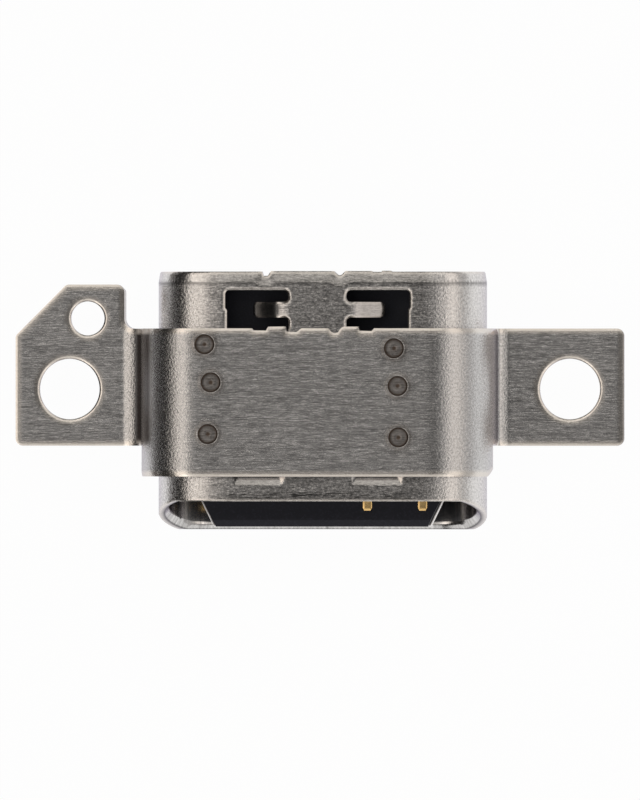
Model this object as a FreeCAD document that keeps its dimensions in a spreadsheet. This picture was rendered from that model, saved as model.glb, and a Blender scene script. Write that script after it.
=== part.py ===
"""USB-C socket with a welded screw bracket, as a parametric FreeCAD document.

Row frame, millimetres: X across the mouth, Y from the mouth to the rear, Z up.
The origin is on the shell's flat underside, on the line through the two ear screws.
"""
import FreeCAD, Part
import math
import os
import re

import Sketcher

Vector = FreeCAD.Vector

# Driving dimensions. Lengths are in millimetres and angles in degrees.
# Depths named "from the lip" run rearwards from the lower lip of the mouth.
SIZES = {
    "shell_width": 8.94,
    "shell_height": 3.16,
    "shell_wall": 0.30,
    "shell_length": 7.01,
    "lip_to_screws": 3.81,
    "lip_setback": 0.77,
    "lip_ramp": 2.10,
    "sill_length": 1.41,
    "sill_gap": 0.05,
    "window_inner": 0.79,
    "window_width": 1.72,
    "window_behind": 0.52,
    "window_length": 1.13,
    "window_corner": 0.12,
    "window_jog": 0.05,
    "window_jog_from": 0.60,
    "slot_end_radius": 0.14,
    "tab_width": 0.42,
    "tab_setback": 0.384,
    "tab_root": 0.12,
    "tab_reach": 0.99,
    "tab_angle": 32,
    "tab_bend": 0.12,
    "pad_inner": 0.90,
    "pad_width": 1.42,
    "pad_front": 1.20,
    "pad_length": 1.60,
    "pad_depth": 0.11,
    "pad_slope": 0.22,
    "nick_left": 1.38,
    "nick_right": 0.60,
    "nick_mouth": 0.28,
    "nick_root": 0.12,
    "nick_depth": 0.13,
    "bracket_shift": 0.125,
    "sheet": 0.20,
    "strap_tight_gap": 0.03,
    "strap_front": 1.440,
    "strap_depth": 4.010,
    "wall_straight": 0.05,
    "wall_end_rise": 0.34,
    "wall_corner": 0.16,
    "ear_drop": 0.57,
    "left_ear_bend": 0.58,
    "right_ear_bend": 0.42,
    "ear_setback": 0.831,
    "screw_spacing": 13.64,
    "screw_hole": 1.64,
    "ear_rim": 0.655,
    "ear_corner": 0.20,
    "locator_hole": 0.92,
    "locator_outboard": 1.50,
    "locator_behind": 1.92,
    "lobe_outboard": 0.50,
    "lobe_rear_rim": 0.92,
    "lobe_chamfer_rim": 1.06,
    "lobe_corner": 0.21,
    "lobe_root": 0.26,
    "lobe_blunt": 0.15,
    "weld_left_inset": 0.19,
    "weld_right_inset": 0.77,
    "weld_rear_inset": 0.43,
    "weld_row_gap": 1.03,
    "weld_front_inset": 1.13,
    "weld_stagger": 0.10,
    "weld_size": 0.60,
    "weld_depth": 0.02,
    "dip_mouth": 0.36,
    "dip_root": 0.20,
    "dip_depth": 0.11,
    "dip_pair": 0.87,
    "dip_left": 1.22,
    "dip_right": 0.90,
    "tongue_tip": 0.08,
    "tongue_length": 4.45,
    "tongue_thickness": 0.70,
    "tongue_lead": 0.77,
    "tongue_taper": 0.38,
    "nose_length": 0.22,
    "nose_bevel": 0.18,
    "nose_bevel_drop": 0.12,
    "latch_from_tip": 1.87,
    "latch_length": 0.90,
    "latch_depth": 0.20,
    "plate_thickness": 0.15,
    "plate_proud": 0.08,
    "plate_horn": 0.40,
    "rail_width": 0.315,
    "carrier_edge": 0.075,
    "carrier_inset": 0.81,
    "lower_carrier_inset": 1.56,
    "root_length": 0.93,
    "root_height": 0.50,
    "housing_inset": 0.16,
    "housing_fit": 0.02,
    "pocket_margin": 0.05,
    "tab_clearance": 0.16,
    "ground_sheet": 0.12,
    "ground_edge": 0.05,
    "ground_gap": 0.21,
    "contact_pitch": 0.50,
    "contact_width": 0.25,
    "contact_sheet": 0.12,
    "contact_bend": 0.06,
    "contact_blunt": 0.04,
    "long_bare_start": 0.435,
    "late_bare_start": 0.77,
    "signal_bare_start": 1.07,
    "leg_run": 0.10,
    "upper_tail": 0.55,
    "lower_tail": 0.40,
}

CONTACTS_PER_ROW = 12
GROUND_PLACES = (1, 12)
SUPPLY_PLACES = (4, 9)

# Places worked out from the driving dimensions, as formulas on the sheet's names.
MIDDLE = "shell_height / 2"
LIP = "-lip_to_screws"
SHELL_REAR = "(shell_length - lip_to_screws)"
EAR_UNDERSIDE = "(shell_height / 2 - ear_drop)"
EAR_TOP = f"({EAR_UNDERSIDE} + sheet)"
SHOULDER_INNER = "(shell_height / 2 - strap_tight_gap)"
WALL_INNER = "(shell_width / 2 + strap_tight_gap + bracket_shift)"
WALL_OUTER = f"({WALL_INNER} + sheet)"
STRAP_FRONT = "(strap_front - lip_to_screws)"
STRAP_REAR = "(strap_front + strap_depth - lip_to_screws)"
EAR_FRONT = "(strap_front + ear_setback - lip_to_screws)"
EAR_END = "(screw_spacing / 2 + screw_hole / 2 + ear_rim)"
LOCATOR_ACROSS = f"({WALL_OUTER} + locator_outboard)"
LOBE_REAR = "(locator_behind + lobe_rear_rim)"
LOBE_SUM = f"({LOCATOR_ACROSS} + locator_behind + lobe_chamfer_rim * sqrt(2))"
TONGUE_TIP = "(tongue_tip - lip_to_screws)"
BASE_FRONT = "(tongue_tip + tongue_length - lip_to_screws)"
NOSE_REAR = "(tongue_tip + nose_length - lip_to_screws)"
ROOT_FRONT = "(tongue_tip + tongue_length - root_length - lip_to_screws)"
CARRIER_REAR = f"({SHELL_REAR} - carrier_inset)"
LOWER_CARRIER_REAR = f"({SHELL_REAR} - lower_carrier_inset)"
HOUSING_REAR = f"({SHELL_REAR} - housing_inset)"
CARRIER_HALF = f"(({CONTACTS_PER_ROW - 1} * contact_pitch + contact_width) / 2 + carrier_edge)"
MOULDED_HALF = f"({CARRIER_HALF} + rail_width)"
PLATE_HALF = f"({MOULDED_HALF} + plate_proud)"
WINDOW_REAR = f"({SHELL_REAR} - window_behind)"
WINDOW_FRONT = f"({WINDOW_REAR} - window_length)"
TAB_FRONT = f"({WINDOW_FRONT} + tab_setback)"
TAB_BEND = "(window_inner + tab_root)"
TAB_TIP = "(window_inner + tab_reach)"
TAB_DROP = f"(({TAB_TIP} - {TAB_BEND}) * tan(tab_angle))"
TAB_POCKET = f"({TAB_DROP} + shell_wall * cos(tab_angle) + tab_clearance)"

document = FreeCAD.newDocument("usb_c_socket")
sheet = document.addObject("Spreadsheet::Sheet", "Sizes")
for row, (alias, size) in enumerate(SIZES.items(), start=1):
    sheet.set(f"A{row}", alias)
    sheet.set(f"B{row}", str(size))
    sheet.setAlias(f"B{row}", alias)
document.recompute()


def bound(formula):
    """The formula with each size's name pointing at its cell of the sheet."""
    return re.sub(r"[a-z][a-z_]+[a-z]", lambda m: f"Sizes.{m[0]}" if m[0] in SIZES else m[0], formula)


def value(formula):
    """The number that a formula on the sheet's names gives now."""
    return float(sheet.evalExpression(bound(formula)))


def new_body(label):
    return document.addObject("PartDesign::Body", label)


def new_sketch(body, name, plane, offset="0"):
    """A sketch on one of the body's own origin planes, moved along that plane's normal."""
    sketch = body.newObject("Sketcher::SketchObject", f"{body.Name}_{name}")
    support = next(item for item in body.Origin.OriginFeatures if item.Role == plane)
    sketch.AttachmentSupport = [(support, "")]
    sketch.MapMode = "FlatFace"
    if offset != "0":
        sketch.setExpression("AttachmentOffset.Base.z", bound(offset))
    return sketch


def across_y(body, name, place):
    """A sketch that faces the mouth: X to the right, Z up, at the given Y."""
    return new_sketch(body, name, "XZ_Plane", f"-({place})")


def side_on(body, name):
    """A sketch seen from the side: Y to the right, Z up, on the middle plane."""
    return new_sketch(body, name, "YZ_Plane")


def in_plan(body, name, level="0"):
    """A sketch seen from above: X to the right, Y up the page, at the given Z."""
    return new_sketch(body, name, "XY_Plane", level)


def bind_last(sketch, formulas):
    """Tie the constraints added last to the sheet, in the order given."""
    first = sketch.ConstraintCount - len(formulas)
    for step, formula in enumerate(formulas):
        sketch.setExpression(f"Constraints[{first + step}]", bound(formula))


def add_outline(sketch, corners):
    """A closed outline of straight sides; a corner is (across, up) or (across, up, radius)."""
    count = len(corners)
    points = [Vector(value(corner[0]), value(corner[1]), 0) for corner in corners]
    radii = [corner[2] if len(corner) == 3 else None for corner in corners]
    arrive, leave, arcs = [], [], {}
    for i, point in enumerate(points):
        if radii[i] is None:
            arrive.append(point)
            leave.append(point)
            continue
        back = (points[i - 1] - point).normalize()
        ahead = (points[(i + 1) % count] - point).normalize()
        half = back.getAngle(ahead) / 2
        radius = value(radii[i])
        arrive.append(point + back * (radius / math.tan(half)))
        leave.append(point + ahead * (radius / math.tan(half)))
        centre = point + (back + ahead).normalize() * (radius / math.sin(half))
        turns_left = back.cross(ahead).z < 0
        first, last = (arrive[i], leave[i]) if turns_left else (leave[i], arrive[i])
        start = math.atan2(first.y - centre.y, first.x - centre.x)
        stop = math.atan2(last.y - centre.y, last.x - centre.x)
        circle = Part.Circle(centre, Vector(0, 0, 1), radius)
        arcs[i] = (Part.ArcOfCircle(circle, start, stop + 2 * math.pi * (stop < start)), turns_left)
    sides = [sketch.addGeometry(Part.LineSegment(leave[i], arrive[(i + 1) % count]), False)
             for i in range(count)]
    joints, places, formulas = [], [], []
    for i, point in enumerate(points):
        before, after = sides[i - 1], sides[i]
        if i not in arcs:
            joints.append(Sketcher.Constraint("Coincident", before, 2, after, 1))
            spot, end = after, 1
        else:
            arc, turns_left = arcs[i]
            bend = sketch.addGeometry(arc, False)
            near, far = (1, 2) if turns_left else (2, 1)
            spot, end = sketch.addGeometry(Part.Point(point), True), 1
            joints.append(Sketcher.Constraint("Tangent", before, 2, bend, near))
            joints.append(Sketcher.Constraint("Tangent", bend, far, after, 1))
            joints.append(Sketcher.Constraint("PointOnObject", spot, 1, before))
            joints.append(Sketcher.Constraint("PointOnObject", spot, 1, after))
            places.append(Sketcher.Constraint("Radius", bend, value(radii[i])))
            formulas.append(radii[i])
        places.append(Sketcher.Constraint("DistanceX", -1, 1, spot, end, point.x))
        places.append(Sketcher.Constraint("DistanceY", -1, 1, spot, end, point.y))
        formulas += corners[i][:2]
    sketch.addConstraint(joints)
    sketch.addConstraint(places)
    bind_last(sketch, formulas)


def add_box_outline(sketch, left, front, right, rear):
    add_outline(sketch, [(left, front), (right, front), (right, rear), (left, rear)])


def add_circle(sketch, across, up, diameter):
    circle = Part.Circle(Vector(value(across), value(up), 0), Vector(0, 0, 1), value(diameter) / 2)
    ring = sketch.addGeometry(circle, False)
    sketch.addConstraint([
        Sketcher.Constraint("DistanceX", -1, 1, ring, 3, value(across)),
        Sketcher.Constraint("DistanceY", -1, 1, ring, 3, value(up)),
        Sketcher.Constraint("Diameter", ring, value(diameter)),
    ])
    bind_last(sketch, [across, up, diameter])


def add_stadium(sketch, inset):
    """The shell's outside outline, two flats and two half rounds, drawn in by the inset."""
    half_flat = "(shell_width - shell_height) / 2"
    middle = value(MIDDLE)
    radius = value(f"{MIDDLE} - ({inset})")
    reach = value(half_flat)
    up = Vector(0, 0, 1)
    right = Part.ArcOfCircle(Part.Circle(Vector(reach, middle, 0), up, radius), -math.pi / 2, math.pi / 2)
    left = Part.ArcOfCircle(Part.Circle(Vector(-reach, middle, 0), up, radius), math.pi / 2, 1.5 * math.pi)
    low = Part.LineSegment(Vector(-reach, middle - radius, 0), Vector(reach, middle - radius, 0))
    high = Part.LineSegment(Vector(reach, middle + radius, 0), Vector(-reach, middle + radius, 0))
    ring = [sketch.addGeometry(curve, False) for curve in (low, right, high, left)]
    sketch.addConstraint([Sketcher.Constraint("Tangent", ring[i - 1], 2, ring[i], 1) for i in range(4)])
    sketch.addConstraint([
        Sketcher.Constraint("DistanceX", -1, 1, ring[1], 3, reach),
        Sketcher.Constraint("DistanceY", -1, 1, ring[1], 3, middle),
        Sketcher.Constraint("DistanceX", -1, 1, ring[3], 3, -reach),
        Sketcher.Constraint("DistanceY", -1, 1, ring[3], 3, middle),
        Sketcher.Constraint("Radius", ring[1], radius),
        Sketcher.Constraint("Radius", ring[3], radius),
    ])
    size = f"{MIDDLE} - ({inset})"
    bind_last(sketch, [half_flat, MIDDLE, f"-({half_flat})", MIDDLE, size, size])


def add_feature(body, kind, sketch, length, symmetric, reverse):
    feature = body.newObject(f"PartDesign::{kind}", f"{sketch.Name}_{kind.lower()}")
    feature.Profile = sketch
    feature.setExpression("Length", bound(length))
    feature.SideType = "Symmetric" if symmetric else "One side"
    feature.Reversed = reverse
    document.recompute()
    return feature


def pad(body, sketch, length, symmetric=False, reverse=False):
    return add_feature(body, "Pad", sketch, length, symmetric, reverse)


def pocket(body, sketch, length, symmetric=False, reverse=False):
    return add_feature(body, "Pocket", sketch, length, symmetric, reverse)


def loft(body, kind, sections):
    feature = body.newObject(f"PartDesign::{kind}", f"{sections[0].Name}_loft")
    feature.Profile = sections[0]
    feature.Sections = sections[1:]
    document.recompute()
    return feature


def signed(side, formula):
    return formula if side > 0 else f"-({formula})"


def add_nick(sketch, across, rear, mouth, root, depth):
    """A tapered nick in a rear edge, open to the rear."""
    add_outline(sketch, [
        (f"{across} - {root} / 2", f"{rear} - {depth}"),
        (f"{across} + {root} / 2", f"{rear} - {depth}"),
        (f"{across} + {mouth} / 2", rear),
        (f"{across} + {mouth} / 2", f"{rear} + {depth}"),
        (f"{across} - {mouth} / 2", f"{rear} + {depth}"),
        (f"{across} - {mouth} / 2", rear),
    ])


def shell_window(sketch, side):
    """One window in the shell's top, drawn round the root of its spring tab."""
    def out(formula):
        return signed(side, f"window_inner + {formula}")
    jog = f"({WINDOW_FRONT} + window_jog_from)"
    tab_rear = f"({TAB_FRONT} + tab_width)"
    add_outline(sketch, [
        (out("0"), WINDOW_FRONT, "slot_end_radius"),
        (out("window_width - window_jog"), WINDOW_FRONT, "window_corner"),
        (out("window_width - window_jog"), jog),
        (out("window_width"), f"{jog} + window_jog"),
        (out("window_width"), WINDOW_REAR, "window_corner"),
        (out("0"), WINDOW_REAR, "slot_end_radius"),
        (out("0"), tab_rear, "slot_end_radius"),
        (out("tab_root"), tab_rear),
        (out("tab_root"), TAB_FRONT),
        (out("0"), TAB_FRONT, "slot_end_radius"),
    ])


def spring_tab(body, side):
    """A tab left in the window, bent down into the housing's pocket."""
    sketch = across_y(body, f"tab_{'right' if side > 0 else 'left'}", TAB_FRONT)
    root = "(window_inner - shell_wall / 2)"
    inside = f"({TAB_BEND} - shell_wall * tan(tab_angle / 2))"
    add_outline(sketch, [
        (signed(side, root), "shell_height"),
        (signed(side, TAB_BEND), "shell_height", "tab_bend + shell_wall"),
        (signed(side, TAB_TIP), f"shell_height - {TAB_DROP}"),
        (signed(side, f"{TAB_TIP} - shell_wall * sin(tab_angle)"),
         f"shell_height - {TAB_DROP} - shell_wall * cos(tab_angle)"),
        (signed(side, inside), "shell_height - shell_wall", "tab_bend"),
        (signed(side, root), "shell_height - shell_wall"),
    ])
    pad(body, sketch, "tab_width", reverse=True)


def pressed_pad(body, side, top):
    """A shallow trapezoid pressed inwards: a recess outside and the same form inside."""
    name = f"pad_{'right' if side > 0 else 'left'}_{'top' if top else 'floor'}"
    face = "shell_height" if top else "0"
    inner_face = "(shell_height - shell_wall)" if top else "shell_wall"
    inward = "-" if top else "+"
    front = "(pad_front - lip_to_screws)"
    for kind, base, part in (("SubtractiveLoft", face, "recess"), ("AdditiveLoft", inner_face, "bulge")):
        mouth = in_plan(body, f"{name}_{part}", base)
        add_box_outline(mouth, signed(side, "pad_inner"), front,
                        signed(side, "pad_inner + pad_width"), f"{front} + pad_length")
        floor = in_plan(body, f"{name}_{part}_floor", f"{base} {inward} pad_depth")
        add_box_outline(floor, signed(side, "pad_inner + pad_slope"), f"{front} + pad_slope",
                        signed(side, "pad_inner + pad_width - pad_slope"),
                        f"{front} + pad_length - pad_slope")
        loft(body, kind, [mouth, floor])


def shell():
    """The drawn steel shell: a flat-sided round tube with a slanted mouth."""
    body = new_body("shell")
    section = across_y(body, "section", LIP)
    add_stadium(section, "0")
    add_stadium(section, "shell_wall")
    pad(body, section, "shell_length", reverse=True)

    slant = side_on(body, "slant")
    low = f"{MIDDLE} - lip_ramp / 2"
    high = f"{MIDDLE} + lip_ramp / 2"
    set_back = f"{LIP} + lip_setback"
    clear = f"{LIP} - shell_wall"
    above = "shell_height + shell_wall"
    add_outline(slant, [(clear, low), (LIP, low), (set_back, high), (set_back, above), (clear, above)])
    pocket(body, slant, "shell_width * 2", symmetric=True)

    sill = side_on(body, "sill")
    add_box_outline(sill, f"{SHELL_REAR} - sill_length", "-shell_wall",
                    f"{SHELL_REAR} + shell_wall", f"{EAR_UNDERSIDE} + sill_gap")
    pocket(body, sill, "shell_width * 2", symmetric=True)

    windows = in_plan(body, "windows", "shell_height")
    for side in (-1, 1):
        shell_window(windows, side)
    pocket(body, windows, "shell_height / 2")

    nicks = in_plan(body, "nicks", "shell_height")
    add_nick(nicks, "-nick_left", SHELL_REAR, "nick_mouth", "nick_root", "nick_depth")
    add_nick(nicks, "nick_right", SHELL_REAR, "nick_mouth", "nick_root", "nick_depth")
    pocket(body, nicks, "shell_height / 2")

    for side in (-1, 1):
        spring_tab(body, side)
        for top in (True, False):
            pressed_pad(body, side, top)
    return body


def fold_corners(bend):
    """Half the bracket's section, as corners from the middle out: its top face, then its underside.

    The sheet turns down round the shoulder, runs straight for a little and turns out round the ear's
    bend by the same angle, which follows from the drop between the strap and the ear.
    """
    both = f"({SHOULDER_INNER} + sheet + {bend})"
    drop = f"(shell_height + sheet - {EAR_TOP})"
    angle = f"(acos(({both} - {drop}) / sqrt({both}^2 + wall_straight^2)) - atan(wall_straight / {both}))"
    centre = f"({WALL_INNER} - {SHOULDER_INNER})"
    ear_start = f"({centre} + {both} * sin({angle}) + wall_straight * cos({angle}))"
    half = f"tan({angle} / 2)"
    outer, inner = f"{SHOULDER_INNER} + sheet", SHOULDER_INNER
    return [
        [(f"{centre} + ({outer}) * {half}", "shell_height + sheet", outer),
         (f"{ear_start} - {bend} * {half}", EAR_TOP, bend),
         (EAR_END, EAR_TOP)],
        [(f"{centre} + {inner} * {half}", "shell_height", inner),
         (f"{ear_start} - ({bend} + sheet) * {half}", EAR_UNDERSIDE, f"{bend} + sheet"),
         (EAR_END, EAR_UNDERSIDE)],
    ]


def bracket():
    """One folded sheet: a strap welded over the shell and an ear at each side."""
    body = new_body("bracket")
    body.setExpression("Placement.Base.x", bound("-bracket_shift"))
    strap_top = "(shell_height + sheet)"
    section = across_y(body, "section", STRAP_FRONT)
    left_top, left_under = fold_corners("left_ear_bend")
    right_top, right_under = fold_corners("right_ear_bend")
    left_top = [(f"-({corner[0]})", *corner[1:]) for corner in left_top]
    left_under = [(f"-({corner[0]})", *corner[1:]) for corner in left_under]
    add_outline(section, left_under[::-1] + right_under + right_top[::-1] + left_top)
    pad(body, section, f"{LOBE_REAR} - {STRAP_FRONT}", reverse=True)

    blank = in_plan(body, "blank")
    far = f"({EAR_END} * 2)"
    lobe_inner = f"-({WALL_OUTER} + lobe_outboard)"
    add_box_outline(blank, f"-{far}", f"{STRAP_FRONT} - sheet", far, f"{LOBE_REAR} + sheet")
    add_outline(blank, [
        (f"-{WALL_OUTER}", STRAP_FRONT),
        (WALL_OUTER, STRAP_FRONT),
        (WALL_OUTER, EAR_FRONT),
        (EAR_END, EAR_FRONT, "ear_corner"),
        (EAR_END, STRAP_REAR, "ear_corner"),
        (lobe_inner, STRAP_REAR, "lobe_root"),
        (lobe_inner, LOBE_REAR, "lobe_corner"),
        (f"-({LOBE_SUM} - {LOBE_REAR})", LOBE_REAR, "lobe_blunt"),
        (f"-{EAR_END}", f"{LOBE_SUM} - {EAR_END}", "lobe_blunt"),
        (f"-{EAR_END}", EAR_FRONT, "ear_corner"),
        (f"-{WALL_OUTER}", EAR_FRONT),
    ])
    pocket(body, blank, "shell_height * 4", symmetric=True)

    trim = side_on(body, "trim")
    edge = f"{EAR_TOP} + wall_end_rise"
    add_outline(trim, [
        (f"{STRAP_FRONT} - sheet", f"{edge} + shell_height / 4"),
        (STRAP_FRONT, f"{edge} + shell_height / 4"),
        (STRAP_FRONT, edge, "wall_corner"),
        (EAR_FRONT, edge),
        (EAR_FRONT, f"{EAR_UNDERSIDE} - sheet"),
        (f"{STRAP_FRONT} - sheet", f"{EAR_UNDERSIDE} - sheet"),
    ])
    pocket(body, trim, "shell_width * 3", symmetric=True)

    holes = in_plan(body, "holes")
    for side in (-1, 1):
        add_circle(holes, signed(side, "screw_spacing / 2"), "0", "screw_hole")
    add_circle(holes, f"-{LOCATOR_ACROSS}", "locator_behind", "locator_hole")
    pocket(body, holes, "shell_height * 4", symmetric=True)

    dips = in_plan(body, "dips", "shell_height + sheet * 2")
    for across in ("-dip_left", "-(dip_left + dip_pair)", "dip_right", "dip_right + dip_pair"):
        add_nick(dips, across, STRAP_REAR, "dip_mouth", "dip_root", "dip_depth")
    pocket(body, dips, "sheet * 4")

    welds = in_plan(body, "welds", strap_top)
    flat = f"({WALL_INNER} - {SHOULDER_INNER})"
    weld_rear = f"({STRAP_REAR} - weld_rear_inset)"
    rows = (weld_rear, f"{weld_rear} - weld_row_gap", f"{STRAP_FRONT} + weld_front_inset")
    for place in rows:
        add_circle(welds, f"weld_left_inset - {flat}", place, "weld_size")
        add_circle(welds, f"{flat} - weld_right_inset", f"{place} - weld_stagger", "weld_size")
    pocket(body, welds, "weld_depth")
    return body


def tongue_side(inset):
    """Half the tongue's plan as (out, back) pairs: a tapered lead, then a latch notch."""
    wide = f"({PLATE_HALF} - {inset})"
    notch = f"({wide} - latch_depth)"
    lead = f"({TONGUE_TIP} + tongue_lead)"
    latch = f"({TONGUE_TIP} + latch_from_tip)"
    return [
        (f"{wide} - tongue_taper", TONGUE_TIP),
        (wide, lead),
        (wide, latch),
        (notch, latch),
        (notch, f"{latch} + latch_length"),
        (wide, f"{latch} + latch_length"),
    ]


def mirrored_outline(right, rear_pairs=()):
    """A closed plan outline from its right half, front to rear."""
    half = list(right) + list(rear_pairs)
    return half + [(f"-({out})", back) for out, back in reversed(half)]


def tongue_housing():
    """The moulded base with the tongue's nose and side rails, in one piece."""
    body = new_body("tongue_housing")
    base = across_y(body, "base", BASE_FRONT)
    add_stadium(base, "shell_wall + housing_fit")
    pad(body, base, f"{HOUSING_REAR} - {BASE_FRONT}", reverse=True)

    relief = side_on(body, "relief")
    add_box_outline(relief, LOWER_CARRIER_REAR, "0", f"{HOUSING_REAR} + shell_wall",
                    f"{EAR_UNDERSIDE} + sill_gap")
    pocket(body, relief, "shell_width * 2", symmetric=True)

    channel = across_y(body, "channel", BASE_FRONT)
    add_box_outline(channel, f"-{CARRIER_HALF}", f"{MIDDLE} - root_height",
                    CARRIER_HALF, f"{MIDDLE} + root_height")
    pocket(body, channel, "shell_length")

    rear_bay = across_y(body, "rear_bay", LOWER_CARRIER_REAR)
    add_box_outline(rear_bay, f"-{CARRIER_HALF}", "0", CARRIER_HALF, f"{MIDDLE} + root_height")
    pocket(body, rear_bay, "shell_length")

    tongue = in_plan(body, "tongue", MIDDLE)
    add_outline(tongue, mirrored_outline(tongue_side("plate_proud"),
                                         [(MOULDED_HALF, BASE_FRONT)]))
    pad(body, tongue, "tongue_thickness", symmetric=True)

    bay = in_plan(body, "bay", MIDDLE)
    add_box_outline(bay, f"-{CARRIER_HALF}", NOSE_REAR, CARRIER_HALF, BASE_FRONT)
    pocket(body, bay, "tongue_thickness * 2", symmetric=True)

    slot = in_plan(body, "slot", MIDDLE)
    for side in (-1, 1):
        add_box_outline(slot, signed(side, f"{PLATE_HALF} - tongue_taper - plate_horn"),
                        f"{TONGUE_TIP} - nose_length", signed(side, f"{PLATE_HALF} * 2"), BASE_FRONT)
    pocket(body, slot, "plate_thickness", symmetric=True)

    bevels = side_on(body, "bevels")
    for side in (-1, 1):
        face = f"{MIDDLE} {'+' if side > 0 else '-'} tongue_thickness / 2"
        beyond = signed(side, "tongue_thickness")
        low = signed(side, "nose_bevel_drop")
        add_outline(bevels, [
            (f"{TONGUE_TIP} + nose_bevel", face),
            (TONGUE_TIP, f"{face} - ({low})"),
            (f"{TONGUE_TIP} - nose_bevel", f"{face} - ({low})"),
            (f"{TONGUE_TIP} - nose_bevel", f"{face} + ({beyond})"),
            (f"{TONGUE_TIP} + nose_bevel", f"{face} + ({beyond})"),
        ])
    pocket(body, bevels, f"{PLATE_HALF} * 4", symmetric=True)

    pockets = in_plan(body, "tab_pockets", "shell_height")
    for side in (-1, 1):
        add_box_outline(pockets, signed(side, "window_inner - pocket_margin"),
                        f"{WINDOW_FRONT} - pocket_margin",
                        signed(side, "window_inner + window_width + pocket_margin"),
                        f"{WINDOW_REAR} + pocket_margin")
    pocket(body, pockets, TAB_POCKET)
    return body


def contact_carrier(label, side):
    """A moulded half of the tongue: a slab with a groove for each contact and a thick root."""
    body = new_body(label)
    rear = CARRIER_REAR if side > 0 else LOWER_CARRIER_REAR

    def level(formula):
        return f"{MIDDLE} {'+' if side > 0 else '-'} ({formula})"
    profile = side_on(body, "profile")
    add_outline(profile, [
        (NOSE_REAR, level("plate_thickness / 2")),
        (rear, level("plate_thickness / 2")),
        (rear, level("root_height")),
        (ROOT_FRONT, level("root_height")),
        (ROOT_FRONT, level("tongue_thickness / 2")),
        (NOSE_REAR, level("tongue_thickness / 2")),
    ])
    pad(body, profile, f"{CARRIER_HALF} * 2", symmetric=True)
    grooves = across_y(body, "grooves", NOSE_REAR)
    for place in range(1, CONTACTS_PER_ROW + 1):
        across = contact_place(place)
        add_box_outline(grooves, f"{across} - contact_width / 2",
                        level("tongue_thickness / 2 - contact_sheet"),
                        f"{across} + contact_width / 2", level("tongue_thickness / 2"))
    pocket(body, grooves, "shell_length")
    fillers(body, side)
    return body


def contact_place(place):
    """The distance of a contact from the middle, counted from the left."""
    return f"({place - (CONTACTS_PER_ROW + 1) / 2} * contact_pitch)"


def bare_start(place, side):
    """How far behind the tongue's tip a contact's bare end starts."""
    if place not in GROUND_PLACES + SUPPLY_PLACES:
        return "signal_bare_start"
    near_side = place > CONTACTS_PER_ROW / 2 if side > 0 else place <= CONTACTS_PER_ROW / 2
    return "long_bare_start" if near_side else "late_bare_start"


def fillers(body, side):
    """Close the grooves ahead of the contacts, where the moulding runs over to the nose."""
    level = f"{MIDDLE} {'+' if side > 0 else '-'} (tongue_thickness / 2 - contact_sheet)"
    plan = in_plan(body, "fillers", level)
    for place in range(1, CONTACTS_PER_ROW + 1):
        across = contact_place(place)
        add_box_outline(plan, f"{across} - contact_width / 2", NOSE_REAR,
                        f"{across} + contact_width / 2", f"{TONGUE_TIP} + {bare_start(place, side)}")
    pad(body, plan, "contact_sheet", reverse=side < 0)


def contact(label, place, side):
    """A stamped strip: flush in the tongue, through the root, then bent to a soldering tail."""
    body = new_body(label)
    across = contact_place(place)
    body.setExpression("Placement.Base.x", bound(across))
    front = f"({TONGUE_TIP} + {bare_start(place, side)})"
    tail_top = f"({EAR_UNDERSIDE} + contact_sheet)"
    profile = side_on(body, "profile")
    if side > 0:
        top = f"({MIDDLE} + tongue_thickness / 2)"
        leg = f"({CARRIER_REAR} + leg_run)"
        corners = [
            (front, f"{top} - contact_sheet"),
            (leg, f"{top} - contact_sheet", "contact_bend"),
            (leg, EAR_UNDERSIDE, "contact_bend + contact_sheet"),
            (f"{leg} + upper_tail", EAR_UNDERSIDE),
            (f"{leg} + upper_tail", tail_top),
            (f"{leg} + contact_sheet", tail_top, "contact_bend"),
            (f"{leg} + contact_sheet", top, "contact_bend + contact_sheet"),
            (front, top),
        ]
    else:
        top = f"({MIDDLE} - tongue_thickness / 2 + contact_sheet)"
        leg = f"({LOWER_CARRIER_REAR} + leg_run)"
        drop = f"({top} - {tail_top})"
        shift = "contact_sheet * tan(22.5)"
        corners = [
            (front, f"{top} - contact_sheet"),
            (leg, f"{top} - contact_sheet"),
            (f"{leg} + {drop}", EAR_UNDERSIDE),
            (f"{leg} + {drop} + lower_tail", EAR_UNDERSIDE),
            (f"{leg} + {drop} + lower_tail", tail_top),
            (f"{leg} + {drop} + {shift}", tail_top),
            (f"{leg} + {shift}", top),
            (front, top),
        ]
    add_outline(profile, corners)
    pad(body, profile, "contact_width", symmetric=True)

    tip = in_plan(body, "tip", MIDDLE)
    for edge in (-1, 1):
        add_outline(tip, [
            (signed(edge, "contact_width / 2 - contact_blunt"), front),
            (signed(edge, "contact_width / 2"), f"{front} + contact_blunt * 2"),
            (signed(edge, "contact_width"), f"{front} + contact_blunt * 2"),
            (signed(edge, "contact_width"), f"{front} - contact_blunt"),
            (signed(edge, "contact_width / 2 - contact_blunt"), f"{front} - contact_blunt"),
        ])
    pocket(body, tip, "tongue_thickness * 2", symmetric=True)
    return body


def mid_plate():
    """The steel plate inside the tongue, with its edges bare at the tongue's sides."""
    body = new_body("mid_plate")
    plan = in_plan(body, "plan", MIDDLE)
    horn = f"{PLATE_HALF} - tongue_taper - plate_horn"
    front = [(horn, NOSE_REAR), (horn, TONGUE_TIP)]
    rear = [(PLATE_HALF, BASE_FRONT), (CARRIER_HALF, BASE_FRONT), (CARRIER_HALF, LOWER_CARRIER_REAR)]
    add_outline(plan, mirrored_outline(front + tongue_side("0"), rear))
    pad(body, plan, "plate_thickness", symmetric=True)
    return body


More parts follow.
